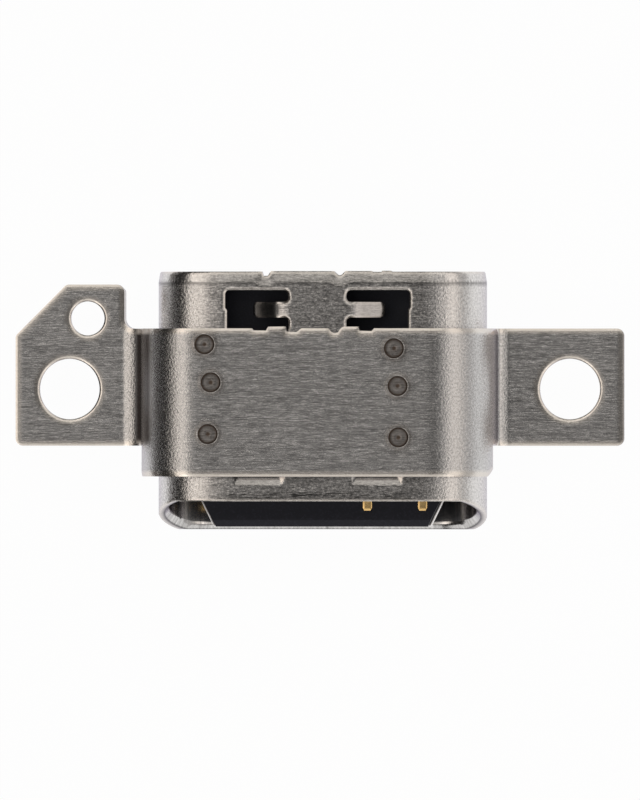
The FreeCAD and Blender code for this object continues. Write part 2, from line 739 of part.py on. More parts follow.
def ground_plate(label, side):
    """A bent steel plate over the tongue's root, turned up against the base."""
    body = new_body(label)

    def level(formula):
        return f"{MIDDLE} {'+' if side > 0 else '-'} ({formula})"
    profile = side_on(body, "profile")
    start = f"{ROOT_FRONT} + ground_sheet"
    flange_face = f"{BASE_FRONT} - ground_sheet"
    flange_end = level("shell_height / 2 - shell_wall - housing_fit - ground_gap")
    add_outline(profile, [
        (start, level("root_height")),
        (BASE_FRONT, level("root_height")),
        (BASE_FRONT, flange_end),
        (flange_face, flange_end),
        (flange_face, level("root_height + ground_sheet")),
        (start, level("root_height + ground_sheet")),
    ])
    pad(body, profile, f"({CARRIER_HALF} - ground_edge) * 2", symmetric=True)
    return body


def build_parts():
    """Every sub-part of the socket, by the name of its node."""
    parts = [shell(), bracket(), tongue_housing(), mid_plate()]
    for side, name, letter in ((1, "upper", "a"), (-1, "lower", "b")):
        parts.append(contact_carrier(f"{name}_contact_carrier", side))
        parts.append(ground_plate(f"ground_plate_{name}", side))
        for place in range(1, CONTACTS_PER_ROW + 1):
            parts.append(contact(f"contact_{letter}{place}", place, side))
    document.recompute()
    return parts


def check_document(parts):
    """Stop on a failed object, a feature that changes nothing or a broken solid."""
    for item in document.Objects:
        if {"Invalid", "Error"} & set(item.State):
            raise RuntimeError(f"{item.Name} failed: {item.State}")
        base = getattr(item, "BaseFeature", None)
        if base is None or item.isDerivedFrom("PartDesign::Body"):
            continue
        gain = item.Shape.Volume - base.Shape.Volume
        removes = item.TypeId.split("::")[1] in ("Pocket", "SubtractiveLoft")
        if (gain >= 0) if removes else (gain <= 0):
            raise RuntimeError(f"{item.Name} changes the volume by {gain:.6f}")
    for part in parts:
        if part.Shape.isNull() or not part.Shape.isValid():
            raise RuntimeError(f"{part.Label} has no valid shape")
        if len(part.Shape.Solids) != 1:
            raise RuntimeError(f"{part.Label} has {len(part.Shape.Solids)} solids")


def export_parts(parts):
    os.makedirs("parts", exist_ok=True)
    for part in parts:
        part.Shape.exportStep(f"parts/{part.Label}.step")


parts = build_parts()
check_document(parts)
export_parts(parts)
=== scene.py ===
"""Dresses a USB-C socket: a drawn shell with a welded, folded bracket on a moulded tongue.

Laid out as an add-on and run as a script. Shapes are worked out in millimetres and written in metres.
"""
import math

import bpy
import numpy as np
from bpy.props import FloatProperty, FloatVectorProperty, PointerProperty
from mathutils import Matrix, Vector
from mathutils.geometry import delaunay_2d_cdt


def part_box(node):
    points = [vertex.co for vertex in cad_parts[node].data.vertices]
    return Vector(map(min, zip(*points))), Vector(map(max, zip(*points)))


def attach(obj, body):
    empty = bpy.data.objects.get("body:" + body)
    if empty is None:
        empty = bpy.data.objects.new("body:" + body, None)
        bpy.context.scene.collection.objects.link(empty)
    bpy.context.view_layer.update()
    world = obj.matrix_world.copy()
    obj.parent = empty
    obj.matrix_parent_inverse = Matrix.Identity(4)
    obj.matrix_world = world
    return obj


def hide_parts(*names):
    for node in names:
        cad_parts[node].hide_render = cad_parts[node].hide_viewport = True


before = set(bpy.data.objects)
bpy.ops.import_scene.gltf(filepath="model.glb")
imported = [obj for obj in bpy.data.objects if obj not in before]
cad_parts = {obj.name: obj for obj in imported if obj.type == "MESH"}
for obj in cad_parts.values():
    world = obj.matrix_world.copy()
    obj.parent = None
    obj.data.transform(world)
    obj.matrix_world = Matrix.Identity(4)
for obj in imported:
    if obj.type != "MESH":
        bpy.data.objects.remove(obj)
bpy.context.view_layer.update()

bl_info = {
    "name": "USB-C socket",
    "version": (1, 0, 0),
    "blender": (4, 5, 0),
    "location": "View3D > Sidebar > Socket",
    "description": "Builds the shell, bracket and finishes of a USB-C socket on its packed frame",
    "category": "Object",
}

MM = 0.001
SHELL_LOW, SHELL_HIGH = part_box("shell")
BRACKET_LOW, BRACKET_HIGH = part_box("bracket")
PLATE_LOW, PLATE_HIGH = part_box("mid_plate")
# Points in a rounded corner, the fewest points worked on at once, the share of its distance that a row
# inside an edge keeps from every edge, and the turn past which an edge is shown sharp
ARC_POINTS, CHUNK, ROW_ROOM, SHARP = 9, 4000, 0.93, math.radians(38)


# Sizes and colours that a user may set

def length(name, millimetres, description):
    """A length, given in millimetres and kept in metres."""
    return FloatProperty(name=name, default=millimetres * MM, unit="LENGTH", precision=5,
                         description=description)


def share(name, default, description):
    """A strength that normally lies between nothing and one."""
    return FloatProperty(name=name, default=default, min=0.0, soft_max=1.0, description=description)


def colour(name, default, description):
    """A colour, as linear red, green and blue."""
    return FloatVectorProperty(name=name, default=default, size=3, subtype="COLOR", min=0.0, max=1.0,
                               description=description)


class SocketShellSizes(bpy.types.PropertyGroup):
    width: length("Width", (SHELL_HIGH[0] - SHELL_LOW[0]) / MM, "Outside width of the shell")
    height: length("Height", (SHELL_HIGH[2] - SHELL_LOW[2]) / MM, "Outside height of the shell")
    depth: length("Depth", (SHELL_HIGH[1] - SHELL_LOW[1]) / MM, "Lower lip to rear edge")
    wall: length("Wall", 0.30, "Thickness of the drawn wall")
    setback: length("Lip setback", 0.77, "How far the upper lip stands behind the lower one")
    floor_depth: length("Floor depth", 5.60, "Lower lip to the rear end of the floor")
    window_inner: length("Window inner end", 0.79, "Middle of the shell to the root of each tab")
    window_outer: length("Window outer end", 2.51, "Middle of the shell to each window's outer end")
    window_front: length("Window front", 5.36, "Lower lip to the front of the windows")
    window_rear: length("Window rear", 6.49, "Lower lip to the rear of the windows")
    window_roll: length("Window edge roll", 0.105, "Width of the rounded rim that punching leaves")
    tab_front: length("Tab front", 5.744, "Lower lip to the front side of the tabs")
    tab_width: length("Tab width", 0.42, "Width of a spring tab")
    tab_bend: length("Tab bend", 1.10, "Outside radius of a tab's bend")
    tab_angle: FloatProperty(name="Tab angle", default=math.radians(32), subtype="ANGLE",
                             description="How far a tab is bent down")
    pad_depth: length("Pad depth", 0.10, "Depth of the pressed pads behind the mouth")
    lead_in: length("Lead-in", 0.13, "Bevel inside the mouth")


class SocketBracketSizes(bpy.types.PropertyGroup):
    sheet: length("Sheet", 0.20, "Thickness of the folded sheet")
    shift: length("Shift", -0.125, "How far the bracket sits from the shell's middle")
    shoulder: length("Shoulder", 1.75, "Outside radius of the strap's shoulders")
    flat: length("Flat", 3.075, "Half the flat top of the strap")
    wall_tilt: FloatProperty(name="Wall tilt", default=math.radians(84), subtype="ANGLE",
                             description="How far the shoulders turn down before they turn out")
    ear_top: length("Ear height", 1.21, "Height of the ears' upper face")
    edge_roll: length("Edge roll", 0.14, "Width of the rounded rim that punching leaves")
    screw_hole: length("Screw hole", 1.64, "Diameter of the two screw holes")
    locating_hole: length("Locating hole", 0.92, "Diameter of the small hole")
    weld: length("Weld mark", 0.62, "Diameter of a spot weld's outer ring")


class SocketFinish(bpy.types.PropertyGroup):
    nickel: colour("Nickel", (0.60, 0.585, 0.57), "Plated steel of the shell")
    steel: colour("Steel", (0.61, 0.60, 0.59), "Brushed steel of the bracket")
    # The burnished rim's colour also serves as the painted highlight on the shell pads' right walls
    rim: colour("Burnished rim", (0.78, 0.73, 0.67), "Steel burnished by the punch at cut edges")
    edge_tint: colour("Edge tint", (0.80, 0.78, 0.84), "Tint of the steel where it is seen at a slant")
    scorch: colour("Weld scorch", (0.055, 0.036, 0.024), "Oxidised steel in the weld marks")
    moulding: colour("Moulding", (0.0055, 0.0055, 0.0085), "Black glass-filled plastic")
    gold: colour("Gold", (1.0, 0.69, 0.30), "Gold plating on the contacts")
    peel: share("Orange peel", 1.0, "Strength of the drawn steel's speckle")
    grain: share("Grain", 1.0, "Strength of the brushed grain")


class SocketStage(bpy.types.PropertyGroup):
    lean: FloatProperty(name="Camera lean", default=math.radians(5.4), subtype="ANGLE",
                        description="How far the camera leans to the right of straight down")
    lens: FloatProperty(name="Lens", default=1000.0, unit="CAMERA", description="Focal length of the camera")
    frame_height: length("Frame height", 21.70, "Height of the picture at the socket's mid-height")
    floor: colour("Floor", (0.86, 0.86, 0.87), "The pale floor")
    overhead: share("Overhead", 0.22, "Brightness of the sky of the studio")
    lamps: FloatProperty(name="Lamps", default=1.0, min=0.0, description="Brightness of every soft lamp")


# Outlines and sheets, in millimetres

def rounded_outline(corners, step):
    """A closed outline as points: straight sides, with an arc of radius r tangent to both sides at each
    corner (x, y, r), then every run divided evenly so that no part is longer than the step."""
    places = np.array([corner[:2] for corner in corners], float)
    runs = []
    for i, corner in enumerate(corners):
        radius = corner[2] if len(corner) == 3 else 0.0
        if radius == 0.0:
            runs.append(places[i:i + 1])
            continue
        back = places[i - 1] - places[i]
        ahead = places[(i + 1) % len(corners)] - places[i]
        back, ahead = back / np.linalg.norm(back), ahead / np.linalg.norm(ahead)
        half = math.acos(np.clip(back @ ahead, -1, 1)) / 2
        middle = (back + ahead) / np.linalg.norm(back + ahead)
        centre = places[i] + middle * radius / math.sin(half)
        reach = np.linspace(-1, 1, ARC_POINTS) * (math.pi / 2 - half)
        side = ahead - middle * (ahead @ middle)
        side = side / np.linalg.norm(side)
        runs.append(centre + radius * (-np.cos(reach)[:, None] * middle + np.sin(reach)[:, None] * side))
    loop = np.vstack(runs)
    ahead = np.roll(loop, -1, 0) - loop
    count = np.maximum(np.ceil(np.linalg.norm(ahead, axis=1) / step), 1).astype(int)
    first = np.repeat(np.cumsum(count) - count, count)
    along = (np.arange(count.sum()) - first) / np.repeat(count, count)
    return np.repeat(loop, count, 0) + np.repeat(ahead, count, 0) * along[:, None]


def ring(centre, radius, count):
    """A circle as points: the centre plus the radius times cosine and sine of evenly spaced angles."""
    angle = np.arange(count) * 2 * math.pi / count
    return np.stack([centre[0] + radius * np.cos(angle), centre[1] + radius * np.sin(angle)], 1)


def grid(left, low, right, high, step):
    """A lattice of points in a box, at most a step apart, with the box's edges in it."""
    across = np.linspace(left, right, max(int(math.ceil((right - left) / step)), 1) + 1)
    up = np.linspace(low, high, max(int(math.ceil((high - low) / step)), 1) + 1)
    return np.stack(np.meshgrid(across, up), -1).reshape(-1, 2)


def edge_distance(points, loops):
    """The distance from each point to the nearest side of the outlines."""
    best = np.full(len(points), 1e9)
    for loop in loops:
        ahead = np.roll(loop, -1, 0) - loop
        square = np.maximum((ahead ** 2).sum(1), 1e-18)
        for chunk in np.array_split(np.arange(len(points)), max(len(points) // CHUNK, 1)):
            rel = points[chunk, None, :] - loop[None]
            along = np.clip((rel * ahead[None]).sum(2) / square, 0, 1)
            gap = rel - along[..., None] * ahead[None]
            best[chunk] = np.minimum(best[chunk], np.sqrt((gap ** 2).sum(2)).min(1))
    return best


def within(points, loop):
    """Whether each point lies inside the outline: its ray to the right crosses it an odd number of times."""
    start, stop = loop, np.roll(loop, -1, 0)
    inside = np.zeros(len(points), bool)
    for chunk in np.array_split(np.arange(len(points)), max(len(points) // CHUNK, 1)):
        x, y = points[chunk, 0:1], points[chunk, 1:2]
        spans = (start[:, 1] > y) != (stop[:, 1] > y)
        rise = np.where(stop[:, 1] == start[:, 1], 1.0, stop[:, 1] - start[:, 1])
        cross = start[:, 0] + (y - start[:, 1]) * (stop[:, 0] - start[:, 0]) / rise
        inside[chunk] = (spans & (x < cross)).sum(1) % 2 == 1
    return inside


def flat_blank(outline, holes, lattices, margin, rims):
    """A flat sheet as triangles: the outlines' points, rows of points inside every edge at the rims'
    distances, and lattices of points kept at least the margin from each edge. Each triangle turns left."""
    loops = [outline] + holes
    rows = []
    for loop in loops:
        tangent = np.roll(loop, -1, 0) - np.roll(loop, 1, 0)
        tangent /= np.maximum(np.linalg.norm(tangent, axis=1), 1e-12)[:, None]
        normal = np.stack([-tangent[:, 1], tangent[:, 0]], 1)
        for side in (-1, 1):
            rows += [(loop + side * rim * normal, rim * ROW_ROOM) for rim in rims]
    keep = []
    for points, least in rows + [(lattice, margin) for lattice in lattices]:
        solid = within(points, outline)
        for hole in holes:
            solid &= ~within(points, hole)
        points = points[solid]
        keep.append(points[edge_distance(points, loops) >= least])
    edges, first = [], 0
    for loop in loops:
        index = np.arange(len(loop))
        edges += np.stack([first + index, first + (index + 1) % len(loop)], 1).tolist()
        first += len(loop)
    spots = np.round(np.vstack(loops + keep), 7)
    found = delaunay_2d_cdt(spots.tolist(), edges, [], 0, 1e-6, False)
    points = np.array([tuple(p) for p in found[0]])
    triangles = np.array(found[2])
    middle = points[triangles].mean(1)
    solid = within(middle, outline)
    for hole in holes:
        solid &= ~within(middle, hole)
    triangles = triangles[solid]
    a, b, c = points[triangles].transpose(1, 0, 2)
    turn = (b - a)[:, 0] * (c - a)[:, 1] - (b - a)[:, 1] * (c - a)[:, 0]
    triangles = triangles[np.abs(turn) > 1e-9]
    turn = turn[np.abs(turn) > 1e-9]
    triangles[turn < 0] = triangles[turn < 0][:, ::-1]
    used = np.unique(triangles)
    lookup = np.full(len(points), -1)
    lookup[used] = np.arange(len(used))
    return points[used], lookup[triangles]


def thick_sheet(name, triangles, top, under, seam=None):
    """A solid sheet from a flat blank's triangles: a top layer, the same triangles turned over for the
    underside, and a wall wherever a triangle's side has no neighbour. A seam pairs points that meet.
    Returns the piece and, for each of its points, its place in the top and bottom layers together."""
    count = len(top)
    if seam is not None:
        triangles = seam[triangles]
    sides = np.concatenate([triangles[:, [0, 1]], triangles[:, [1, 2]], triangles[:, [2, 0]]])
    key = sides[:, 0].astype(np.int64) * count + sides[:, 1]
    back = sides[:, 1].astype(np.int64) * count + sides[:, 0]
    open_sides = sides[~np.isin(key, back)]
    walls = np.concatenate([
        np.stack([open_sides[:, 1], open_sides[:, 0], open_sides[:, 0] + count], 1),
        np.stack([open_sides[:, 1], open_sides[:, 0] + count, open_sides[:, 1] + count], 1)])
    faces = np.concatenate([triangles, triangles[:, ::-1] + count, walls])
    points = np.concatenate([top, under])
    used = np.unique(faces)
    lookup = np.full(len(points), -1)
    lookup[used] = np.arange(len(used))
    faces = lookup[faces]
    mesh = bpy.data.meshes.new(name)
    mesh.vertices.add(len(used))
    mesh.vertices.foreach_set("co", (points[used] * MM).astype(np.float32).ravel())
    mesh.loops.add(faces.size)
    mesh.loops.foreach_set("vertex_index", faces.astype(np.int32).ravel())
    mesh.polygons.add(len(faces))
    mesh.polygons.foreach_set("loop_start", np.arange(0, faces.size, 3, dtype=np.int32))
    mesh.update(calc_edges=True)
    mesh.validate()
    mesh.shade_smooth()
    mesh.set_sharp_from_angle(angle=SHARP)
    piece = bpy.data.objects.new(name, mesh)
    bpy.context.scene.collection.objects.link(piece)
    return piece, used


def paint(piece, name, values):
    """Stores a number or a place for each point of a piece."""
    values = np.asarray(values, np.float32)
    kind = "FLOAT" if values.ndim == 1 else "FLOAT_VECTOR"
    layer = piece.data.attributes.new(name, kind, "POINT")
    layer.data.foreach_set("value" if values.ndim == 1 else "vector", values.ravel())


def roll(distance, width, depth):
    """How far the surface falls at a punched edge: the depth, times the square of the share of the width
    that is left."""
    return depth * np.clip(1 - distance / width, 0, 1) ** 2


def read_table(values, table):
    """Reads values off a table of (place, value) rows: straight between two rows, and level past its ends."""
    places, readings = np.array(table, float).T
    return np.interp(values, places, readings)


# The shell, in millimetres: back from the lower lip, and across from the middle of its top

# How far behind the lip the slant fades out, and half the height over which the lip slants
SLANT_FADE, SLANT_HALF_RISE = 1.2, 1.05
# A tab's length from its root, how far it may reach, how early its bend starts, and the room beside it
TAB_LENGTH, TAB_LIMIT, TAB_LEAD, TAB_MARGIN = 1.140, 1.16, 0.13, 0.16
# Where the pads start, how long they are, and the slopes of their floor, rear, left and right ends
PAD_FRONT, PAD_LENGTH = 1.21, 1.59
PAD_RAMP, PAD_REAR, PAD_LEFT, PAD_RIGHT = 0.22, 0.5, 0.36, 0.26
# The coined band along the rear edge: its width, its slope, and where the outline counts as the rear
BAND_WIDTH, BAND_SLOPE, REAR_FROM = 0.285, 0.17, 5.0
# Rows of points inside each edge of the blank, and behind the mouth, and how many lie in each of these
SHELL_RIMS = (0.025, 0.055, 0.10, 0.265, 0.305)
MOUTH_ROWS, MOUTH_COUNT = (0.045, 0.075, 0.11, 0.16, 0.22, 0.29, 0.36), 392
# How far apart the blank's points lie, and about how far the pads and windows are from the middle
SHELL_STEP, PRESSED_AT = 0.11, 1.61
# How far round its half-round ends the shell still reaches behind the floor's end
CUT_TURN = math.radians(111.5)
# The rear edge's corners, as distances across and back from the straight edge
SHELL_REAR = ((2.03, -0.025), (2.0, 0.0), (1.76, 0.0), (1.74, -0.03), (1.50, -0.028), (1.48, -0.008),
              (0.766, -0.006), (0.66, -0.105), (0.613, -0.122), (0.56, -0.11), (0.45, -0.01),
              (-1.259, -0.008), (-1.349, -0.135), (-1.469, -0.137), (-1.504, -0.02))
# How far the top falls towards its shoulders, by the distance past the flat
CROWN = ((-0.8, 0.0), (-0.6, 0.004), (-0.4, 0.017), (-0.2, 0.038), (0.0, 0.068), (0.17, 0.092),
         (0.33, 0.106), (0.5, 0.110), (2.48, 0.0))
# How strongly dark streaks are laid on the front band, by the distance behind the lower lip
FRONT_STREAKS = ((0.79, 0.2), (0.84, 1.0), (0.98, 1.0), (1.05, 0.1), (1.15, 0.15), (1.44, 0.5))
# The painted shade on the left tab, by the distance across
TAB_SHADE = ((1.10, 0.0), (1.25, 0.6), (1.75, 0.6), (1.85, 0.1))


def shell_section(sizes):
    """The radius of the shell's half-round ends, and half the width of its flat top."""
    radius = sizes.height / MM / 2
    return radius, sizes.width / MM / 2 - radius


def shell_blank(sizes):
    """The unrolled shell, across from the middle of its top and back from the lower lip: its outline, its
    windows, the points to fill it with, and half its length round."""
    radius, half = shell_section(sizes)
    seam = half * 2 + math.pi * radius
    notch = half + radius * CUT_TURN
    floor_end, rear = sizes.floor_depth / MM, sizes.depth / MM
    outline = rounded_outline(
        [(-seam, 0.0), (seam, 0.0), (seam, floor_end), (notch, floor_end, 0.1), (notch, rear - 0.02)]
        + [(x, rear + y) for x, y in SHELL_REAR]
        + [(-notch, rear - 0.02), (-notch, floor_end, 0.1), (-seam, floor_end)], SHELL_STEP)
    inner, outer = sizes.window_inner / MM, sizes.window_outer / MM
    front, back = sizes.window_front / MM, sizes.window_rear / MM
    tab_front = sizes.tab_front / MM
    tab_rear = tab_front + sizes.tab_width / MM
    tip = inner + TAB_LENGTH
    window = ((inner, front, 0.14), (outer - 0.05, front, 0.12), (outer - 0.05, front + 0.58, 0.0),
              (outer, front + 0.65, 0.0), (outer, back, 0.12), (inner, back, 0.14), (inner, tab_rear, 0.14),
              (tip, tab_rear, 0.15), (tip, tab_front, 0.15), (inner, tab_front, 0.14))
    holes = [rounded_outline([(side * x, y, r) for x, y, r in window], 0.045) for side in (-1, 1)]
    lattices = [grid(SHELL_STEP - seam, SHELL_STEP, seam - SHELL_STEP, rear, SHELL_STEP)]
    # Finer points over the pads' ramps and round the windows
    for x in (-PRESSED_AT, PRESSED_AT):
        lattices.append(grid(x - 0.78, 1.16, x + 0.78, 1.56, 0.034))
        lattices.append(grid(x - 1.1, front - 0.25, x + 1.1, back + 0.25, 0.06))
    row = np.linspace(-seam, seam, MOUTH_COUNT)
    lattices += [np.stack([row, np.full(MOUTH_COUNT, y)], 1) for y in MOUTH_ROWS]
    return outline, holes, lattices, seam


def lip_setback(sizes, rise):
    """How far the lip stands back at a height above the shell's middle: nothing at the lower lip, growing
    evenly to the full setback at the upper one."""
    return sizes.setback / MM * np.clip((rise + SLANT_HALF_RISE) / (2 * SLANT_HALF_RISE), 0, 1)


def tab_rows(sizes, depth):
    """Whether each depth lies in the rows that a spring tab takes up."""
    low = sizes.tab_front / MM - TAB_MARGIN
    high = low + sizes.tab_width / MM + 2 * TAB_MARGIN
    return (depth > low) & (depth < high)


def fold_shell(sizes, flat, into):
    """Wraps the blank round the shell's section. Across the top, x is the distance; past the flat, the
    point turns by (distance - flat) / radius round the half-round end; past that it runs back under the
    floor. A tab's points turn about their root by the tab's angle, then run straight. Each layer's front
    is pushed back by the slant at its own height, fading to nothing behind the lip."""
    across, depth = flat[:, 0], flat[:, 1]
    side, reach = np.sign(across), np.abs(across)
    radius, half = shell_section(sizes)
    turn = np.clip((reach - half) / radius, 0, math.pi)
    under = np.maximum(reach - half - math.pi * radius, 0)
    x = np.minimum(reach, half) - under + (radius + into) * np.sin(turn)
    z = radius + (radius + into) * np.cos(turn)
    root = sizes.window_inner / MM - TAB_LEAD
    tab = (reach > root) & (reach < root + TAB_LEAD + TAB_LIMIT) & tab_rows(sizes, depth)
    curl = sizes.tab_bend / MM
    bent = np.clip((reach - root) / curl, 0, sizes.tab_angle)
    run = np.maximum(reach - root - curl * sizes.tab_angle, 0)
    x = np.where(tab, root + (curl + into) * np.sin(bent) + run * np.cos(bent), x)
    z = np.where(tab, 2 * radius - curl + (curl + into) * np.cos(bent) - run * np.sin(bent), z)
    slant = lip_setback(sizes, z - radius)
    y = SHELL_LOW[1] / MM + depth + slant * np.clip(1 - depth / SLANT_FADE, 0, 1)
    return np.stack([side * x, y, z], 1)


def on_tab(sizes, flat):
    """How far each point lies along a spring tab past its bend, from nothing to one."""
    reach = np.abs(flat[:, 0]) - sizes.window_inner / MM
    return np.clip(reach / 0.2 - 0.6, 0, 1) * (tab_rows(sizes, flat[:, 1]) & (reach < TAB_LIMIT))


def pad_relief(sizes, flat, seam):
    """The pressed pads: the least of their full depth, a ramp that deepens rearwards, a rear wall and two end
    walls. The left pad starts 0.98 to 2.26 mm across and the right one 0.93 to 2.288 mm, and every end but
    the right pad's inner one splays outwards by a share of the distance back. Returns the relief and the
    height of the end walls."""
    left = flat[:, 0] < 0
    reach = np.abs(flat[:, 0])
    place = np.where(reach > seam / 2, seam - reach, reach)
    behind = flat[:, 1] - PAD_FRONT
    left_wall = np.where(left, 2.26 + 0.20 * behind - place, place - 0.93) * PAD_LEFT
    right_wall = np.where(left, place - 0.98 + 0.52 * behind, 2.288 + 0.24 * behind - place) * PAD_RIGHT
    full = np.full(len(flat), sizes.pad_depth / MM)
    rear_wall = (PAD_LENGTH - behind) * PAD_REAR
    relief = np.minimum.reduce([full, behind * PAD_RAMP, left_wall, right_wall, rear_wall])
    return np.clip(relief, 0, None), left_wall, right_wall


def seam_partners(flat, seam):
    """The point that each point of the blank becomes when it is rolled up: the right end's points become
    those of the left end, and every other point stays itself."""
    at_left = np.flatnonzero(flat[:, 0] < -seam + 1e-4)
    at_right = np.flatnonzero(flat[:, 0] > seam - 1e-4)
    at_left = at_left[np.argsort(flat[at_left, 1])]
    at_right = at_right[np.argsort(flat[at_right, 1])]
    if len(at_left) != len(at_right):
        raise RuntimeError("The blank's two ends don't meet")
    partners = np.arange(len(flat))
    partners[at_right] = at_left
    return partners


class SOCKET_OT_shell(bpy.types.Operator):
    """Builds the drawn shell as one folded sheet with rolled edges, tabs and pressed pads"""
    bl_idname = "socket.shell"
    bl_label = "Shell"

    def execute(self, context):
        sizes = context.scene.socket_shell
        outline, holes, lattices, seam = shell_blank(sizes)
        flat, triangles = flat_blank(outline, holes, lattices, 0.028, SHELL_RIMS)
        radius, half = shell_section(sizes)
        left, reach = flat[:, 0] < 0, np.abs(flat[:, 0])
        turn = np.clip((reach - half) / radius, 0, math.pi)
        tab = on_tab(sizes, flat)
        to_mouth = flat[:, 1] * (1 - lip_setback(sizes, radius * np.cos(turn)) / SLANT_FADE)
        to_window = edge_distance(flat, holes)
        at_rear = (outline[:, 1] > REAR_FROM) & (np.abs(outline[:, 0]) <= seam - 1e-4)
        to_rear = edge_distance(flat, [np.vstack([outline[at_rear], outline[at_rear][::-1]])])

        window_fall = roll(to_window, sizes.window_roll / MM, 0.045) * (1 - 0.75 * tab)
        rear_fall = BAND_SLOPE * np.clip(BAND_WIDTH - to_rear, 0, 1) + roll(to_rear, 0.06, 0.02)
        fall = np.maximum.reduce([window_fall, rear_fall, roll(to_mouth, 0.05, 0.022)])
        relief, left_wall, right_wall = pad_relief(sizes, flat, seam)
        lead = sizes.lead_in / MM * np.clip(1 - to_mouth / 0.15, 0, 1)
        burr = roll(np.minimum(to_window, to_rear), 0.04, 0.008)
        top = fold_shell(sizes, flat, -fall - relief - read_table(reach - half, CROWN))
        under = fold_shell(sizes, flat, -sizes.wall / MM + lead - relief + burr)
        piece, used = thick_sheet("dressed_shell", triangles, top, under, seam_partners(flat, seam))

        blank = used % len(flat)
        outer = used < len(flat)
        nearest = np.minimum(to_window, np.minimum(to_rear, to_mouth))
        burnish = np.where(to_mouth < 0.06, 0.75, 0.8) * (1 - 0.6 * tab)
        edge_rim = np.clip(1 - nearest / 0.10, 0, 1) * burnish
        sloped = relief > 0.003
        # Painted highlight: each pad's right end wall on the top gets the burnished rim's colour, so it shows
        # bright
        painted_pad_highlight = sloped * (np.abs(relief - right_wall) < 1e-4) * (reach < seam / 2)
        pressed = np.clip(relief / 0.01, 0, 1) * 0.8
        calm = np.maximum.reduce([tab, pressed, 0.6 * (to_rear < 0.29)])
        along = np.concatenate([top, under])[used, 1] - SHELL_LOW[1] / MM
        # Painted shade: the left pad's left end wall, the far stretch of the left tab, and a dark line just
        # inside the coined rear band
        shaded = np.maximum.reduce([
            sloped * (np.abs(relief - left_wall) < 1e-4) * left,
            read_table(reach, TAB_SHADE) * tab * left,
            np.clip(1 - np.abs(to_rear - 0.31) / 0.04, 0, 1) * 0.75])
        # Painted shade: a dark line on the inner layer along the mouth's edge
        painted_lip_shade = np.clip(1 - to_mouth / 0.02, 0, 1)
        behind = top[:, 1] - SHELL_LOW[1] / MM
        inward = np.clip((half - 0.1 - reach) / 0.6, 0, 1)
        front_streaks = read_table(behind, FRONT_STREAKS) * inward * (1 - pressed) * (behind < 2)
        paint(piece, "rim", np.maximum(edge_rim, painted_pad_highlight)[blank] * outer)
        paint(piece, "calm", np.maximum(calm[blank], ~outer))
        paint(piece, "bend", np.clip(np.minimum(turn, math.pi - turn) * 3, 0, 1)[blank])
        paint(piece, "flat", np.column_stack([flat[blank, 0], along, np.zeros(len(used))]) * MM)
        paint(piece, "inside", ~outer)
        paint(piece, "shaded", np.where(outer, shaded[blank], painted_lip_shade[blank]))
        paint(piece, "front_streaks", front_streaks[blank] * outer)
        piece.data.materials.append(shell_material(context.scene.socket_finish))
        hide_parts("shell")
        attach(piece, "root")
        return {"FINISHED"}


# The bracket, in millimetres, with depths in the row frame

# Tilt in degrees by the distance out from the ear, through the left and the right bend
BEND_TILTS = (((0.0, 0), (0.04, 14), (0.20, 19), (0.30, 23), (0.36, 29), (0.45, 42), (0.50, 60)),
              ((0.0, 0), (0.03, 14), (0.23, 23), (0.29, 45)))
# The bend's radius where it leaves the wall, the ear's length past its bend, and points along the section
BEND_START, EAR_RUN, SECTION_POINTS = 0.10, 6.0, 8000
# How far round its left and right shoulders the strap's ends are trimmed
LEFT_TRIM, RIGHT_TRIM = math.radians(78), math.radians(82)
# The rear edge's corners, as distances across and back from the straight edge
STRAP_REAR = ((1.69, 0.0), (1.62, -0.075), (1.29, -0.065), (1.27, 0.045), (0.86, 0.045), (0.79, 0.01),
              (0.70, -0.115), (0.60, -0.125), (0.53, -0.10), (0.44, 0.0), (-0.29, 0.0), (-0.42, -0.10),
              (-0.69, -0.09), (-0.71, 0.05), (-1.19, 0.045), (-1.25, -0.06), (-1.59, -0.055), (-1.62, 0.0))
# How far the ears start behind the strap's front, and how far they reach from the strap's middle
EAR_SETBACK, EAR_REACH = 0.831, 8.295
# The ears' rear edge, and the left ear's lobe: its inner and outer ends, and where its corner starts
EAR_REAR, LOBE_INNER, LOBE_OUTER, LOBE_START = 1.640, 5.325, 6.904, 1.449
# The holes, across from the strap's middle, and how far back the locating hole is
SCREW_ACROSS, LOCATING_ACROSS, LOCATING_BACK = 6.82, 6.325, 1.92
# The spot welds, across from the shell's middle and back from its lower lip
WELDS = ((-3.05, 5.02), (-2.88, 3.99), (-2.96, 2.59), (2.10, 4.91), (2.20, 3.89), (2.22, 2.50))
# Rings of points in a weld, its relief and its scorch, by the share of its radius
WELD_RINGS = (0.0, 0.12, 0.25, 0.42, 0.58, 0.70, 0.78, 0.86, 0.94, 1.02, 1.12, 1.24, 1.4)
WELD_RELIEF = ((0.0, -0.055), (0.12, -0.04), (0.25, -0.020), (0.6, -0.034), (0.78, -0.026), (0.88, 0.008),
               (0.96, 0.014), (1.06, 0.002), (1.2, 0.0))
WELD_SCORCH = ((0.0, 1.0), (0.14, 1.0), (0.27, 0.58), (0.6, 0.64), (0.76, 1.0), (0.87, 1.0), (0.95, 0.0),
               (1.05, 0.90), (1.16, 0.24), (1.7, 0.0))
# How burnished the edge is, by the distance to it
EDGE_RIM = ((0.0, 1.0), (0.11, 1.0), (0.16, 0.0))
# How strongly shade is painted into the left bend's crease, by the distance past the start of the ear
CREASE_SHADE = ((-1.98, 0.0), (-1.76, 1.0), (-0.44, 1.0), (-0.36, 0.0))


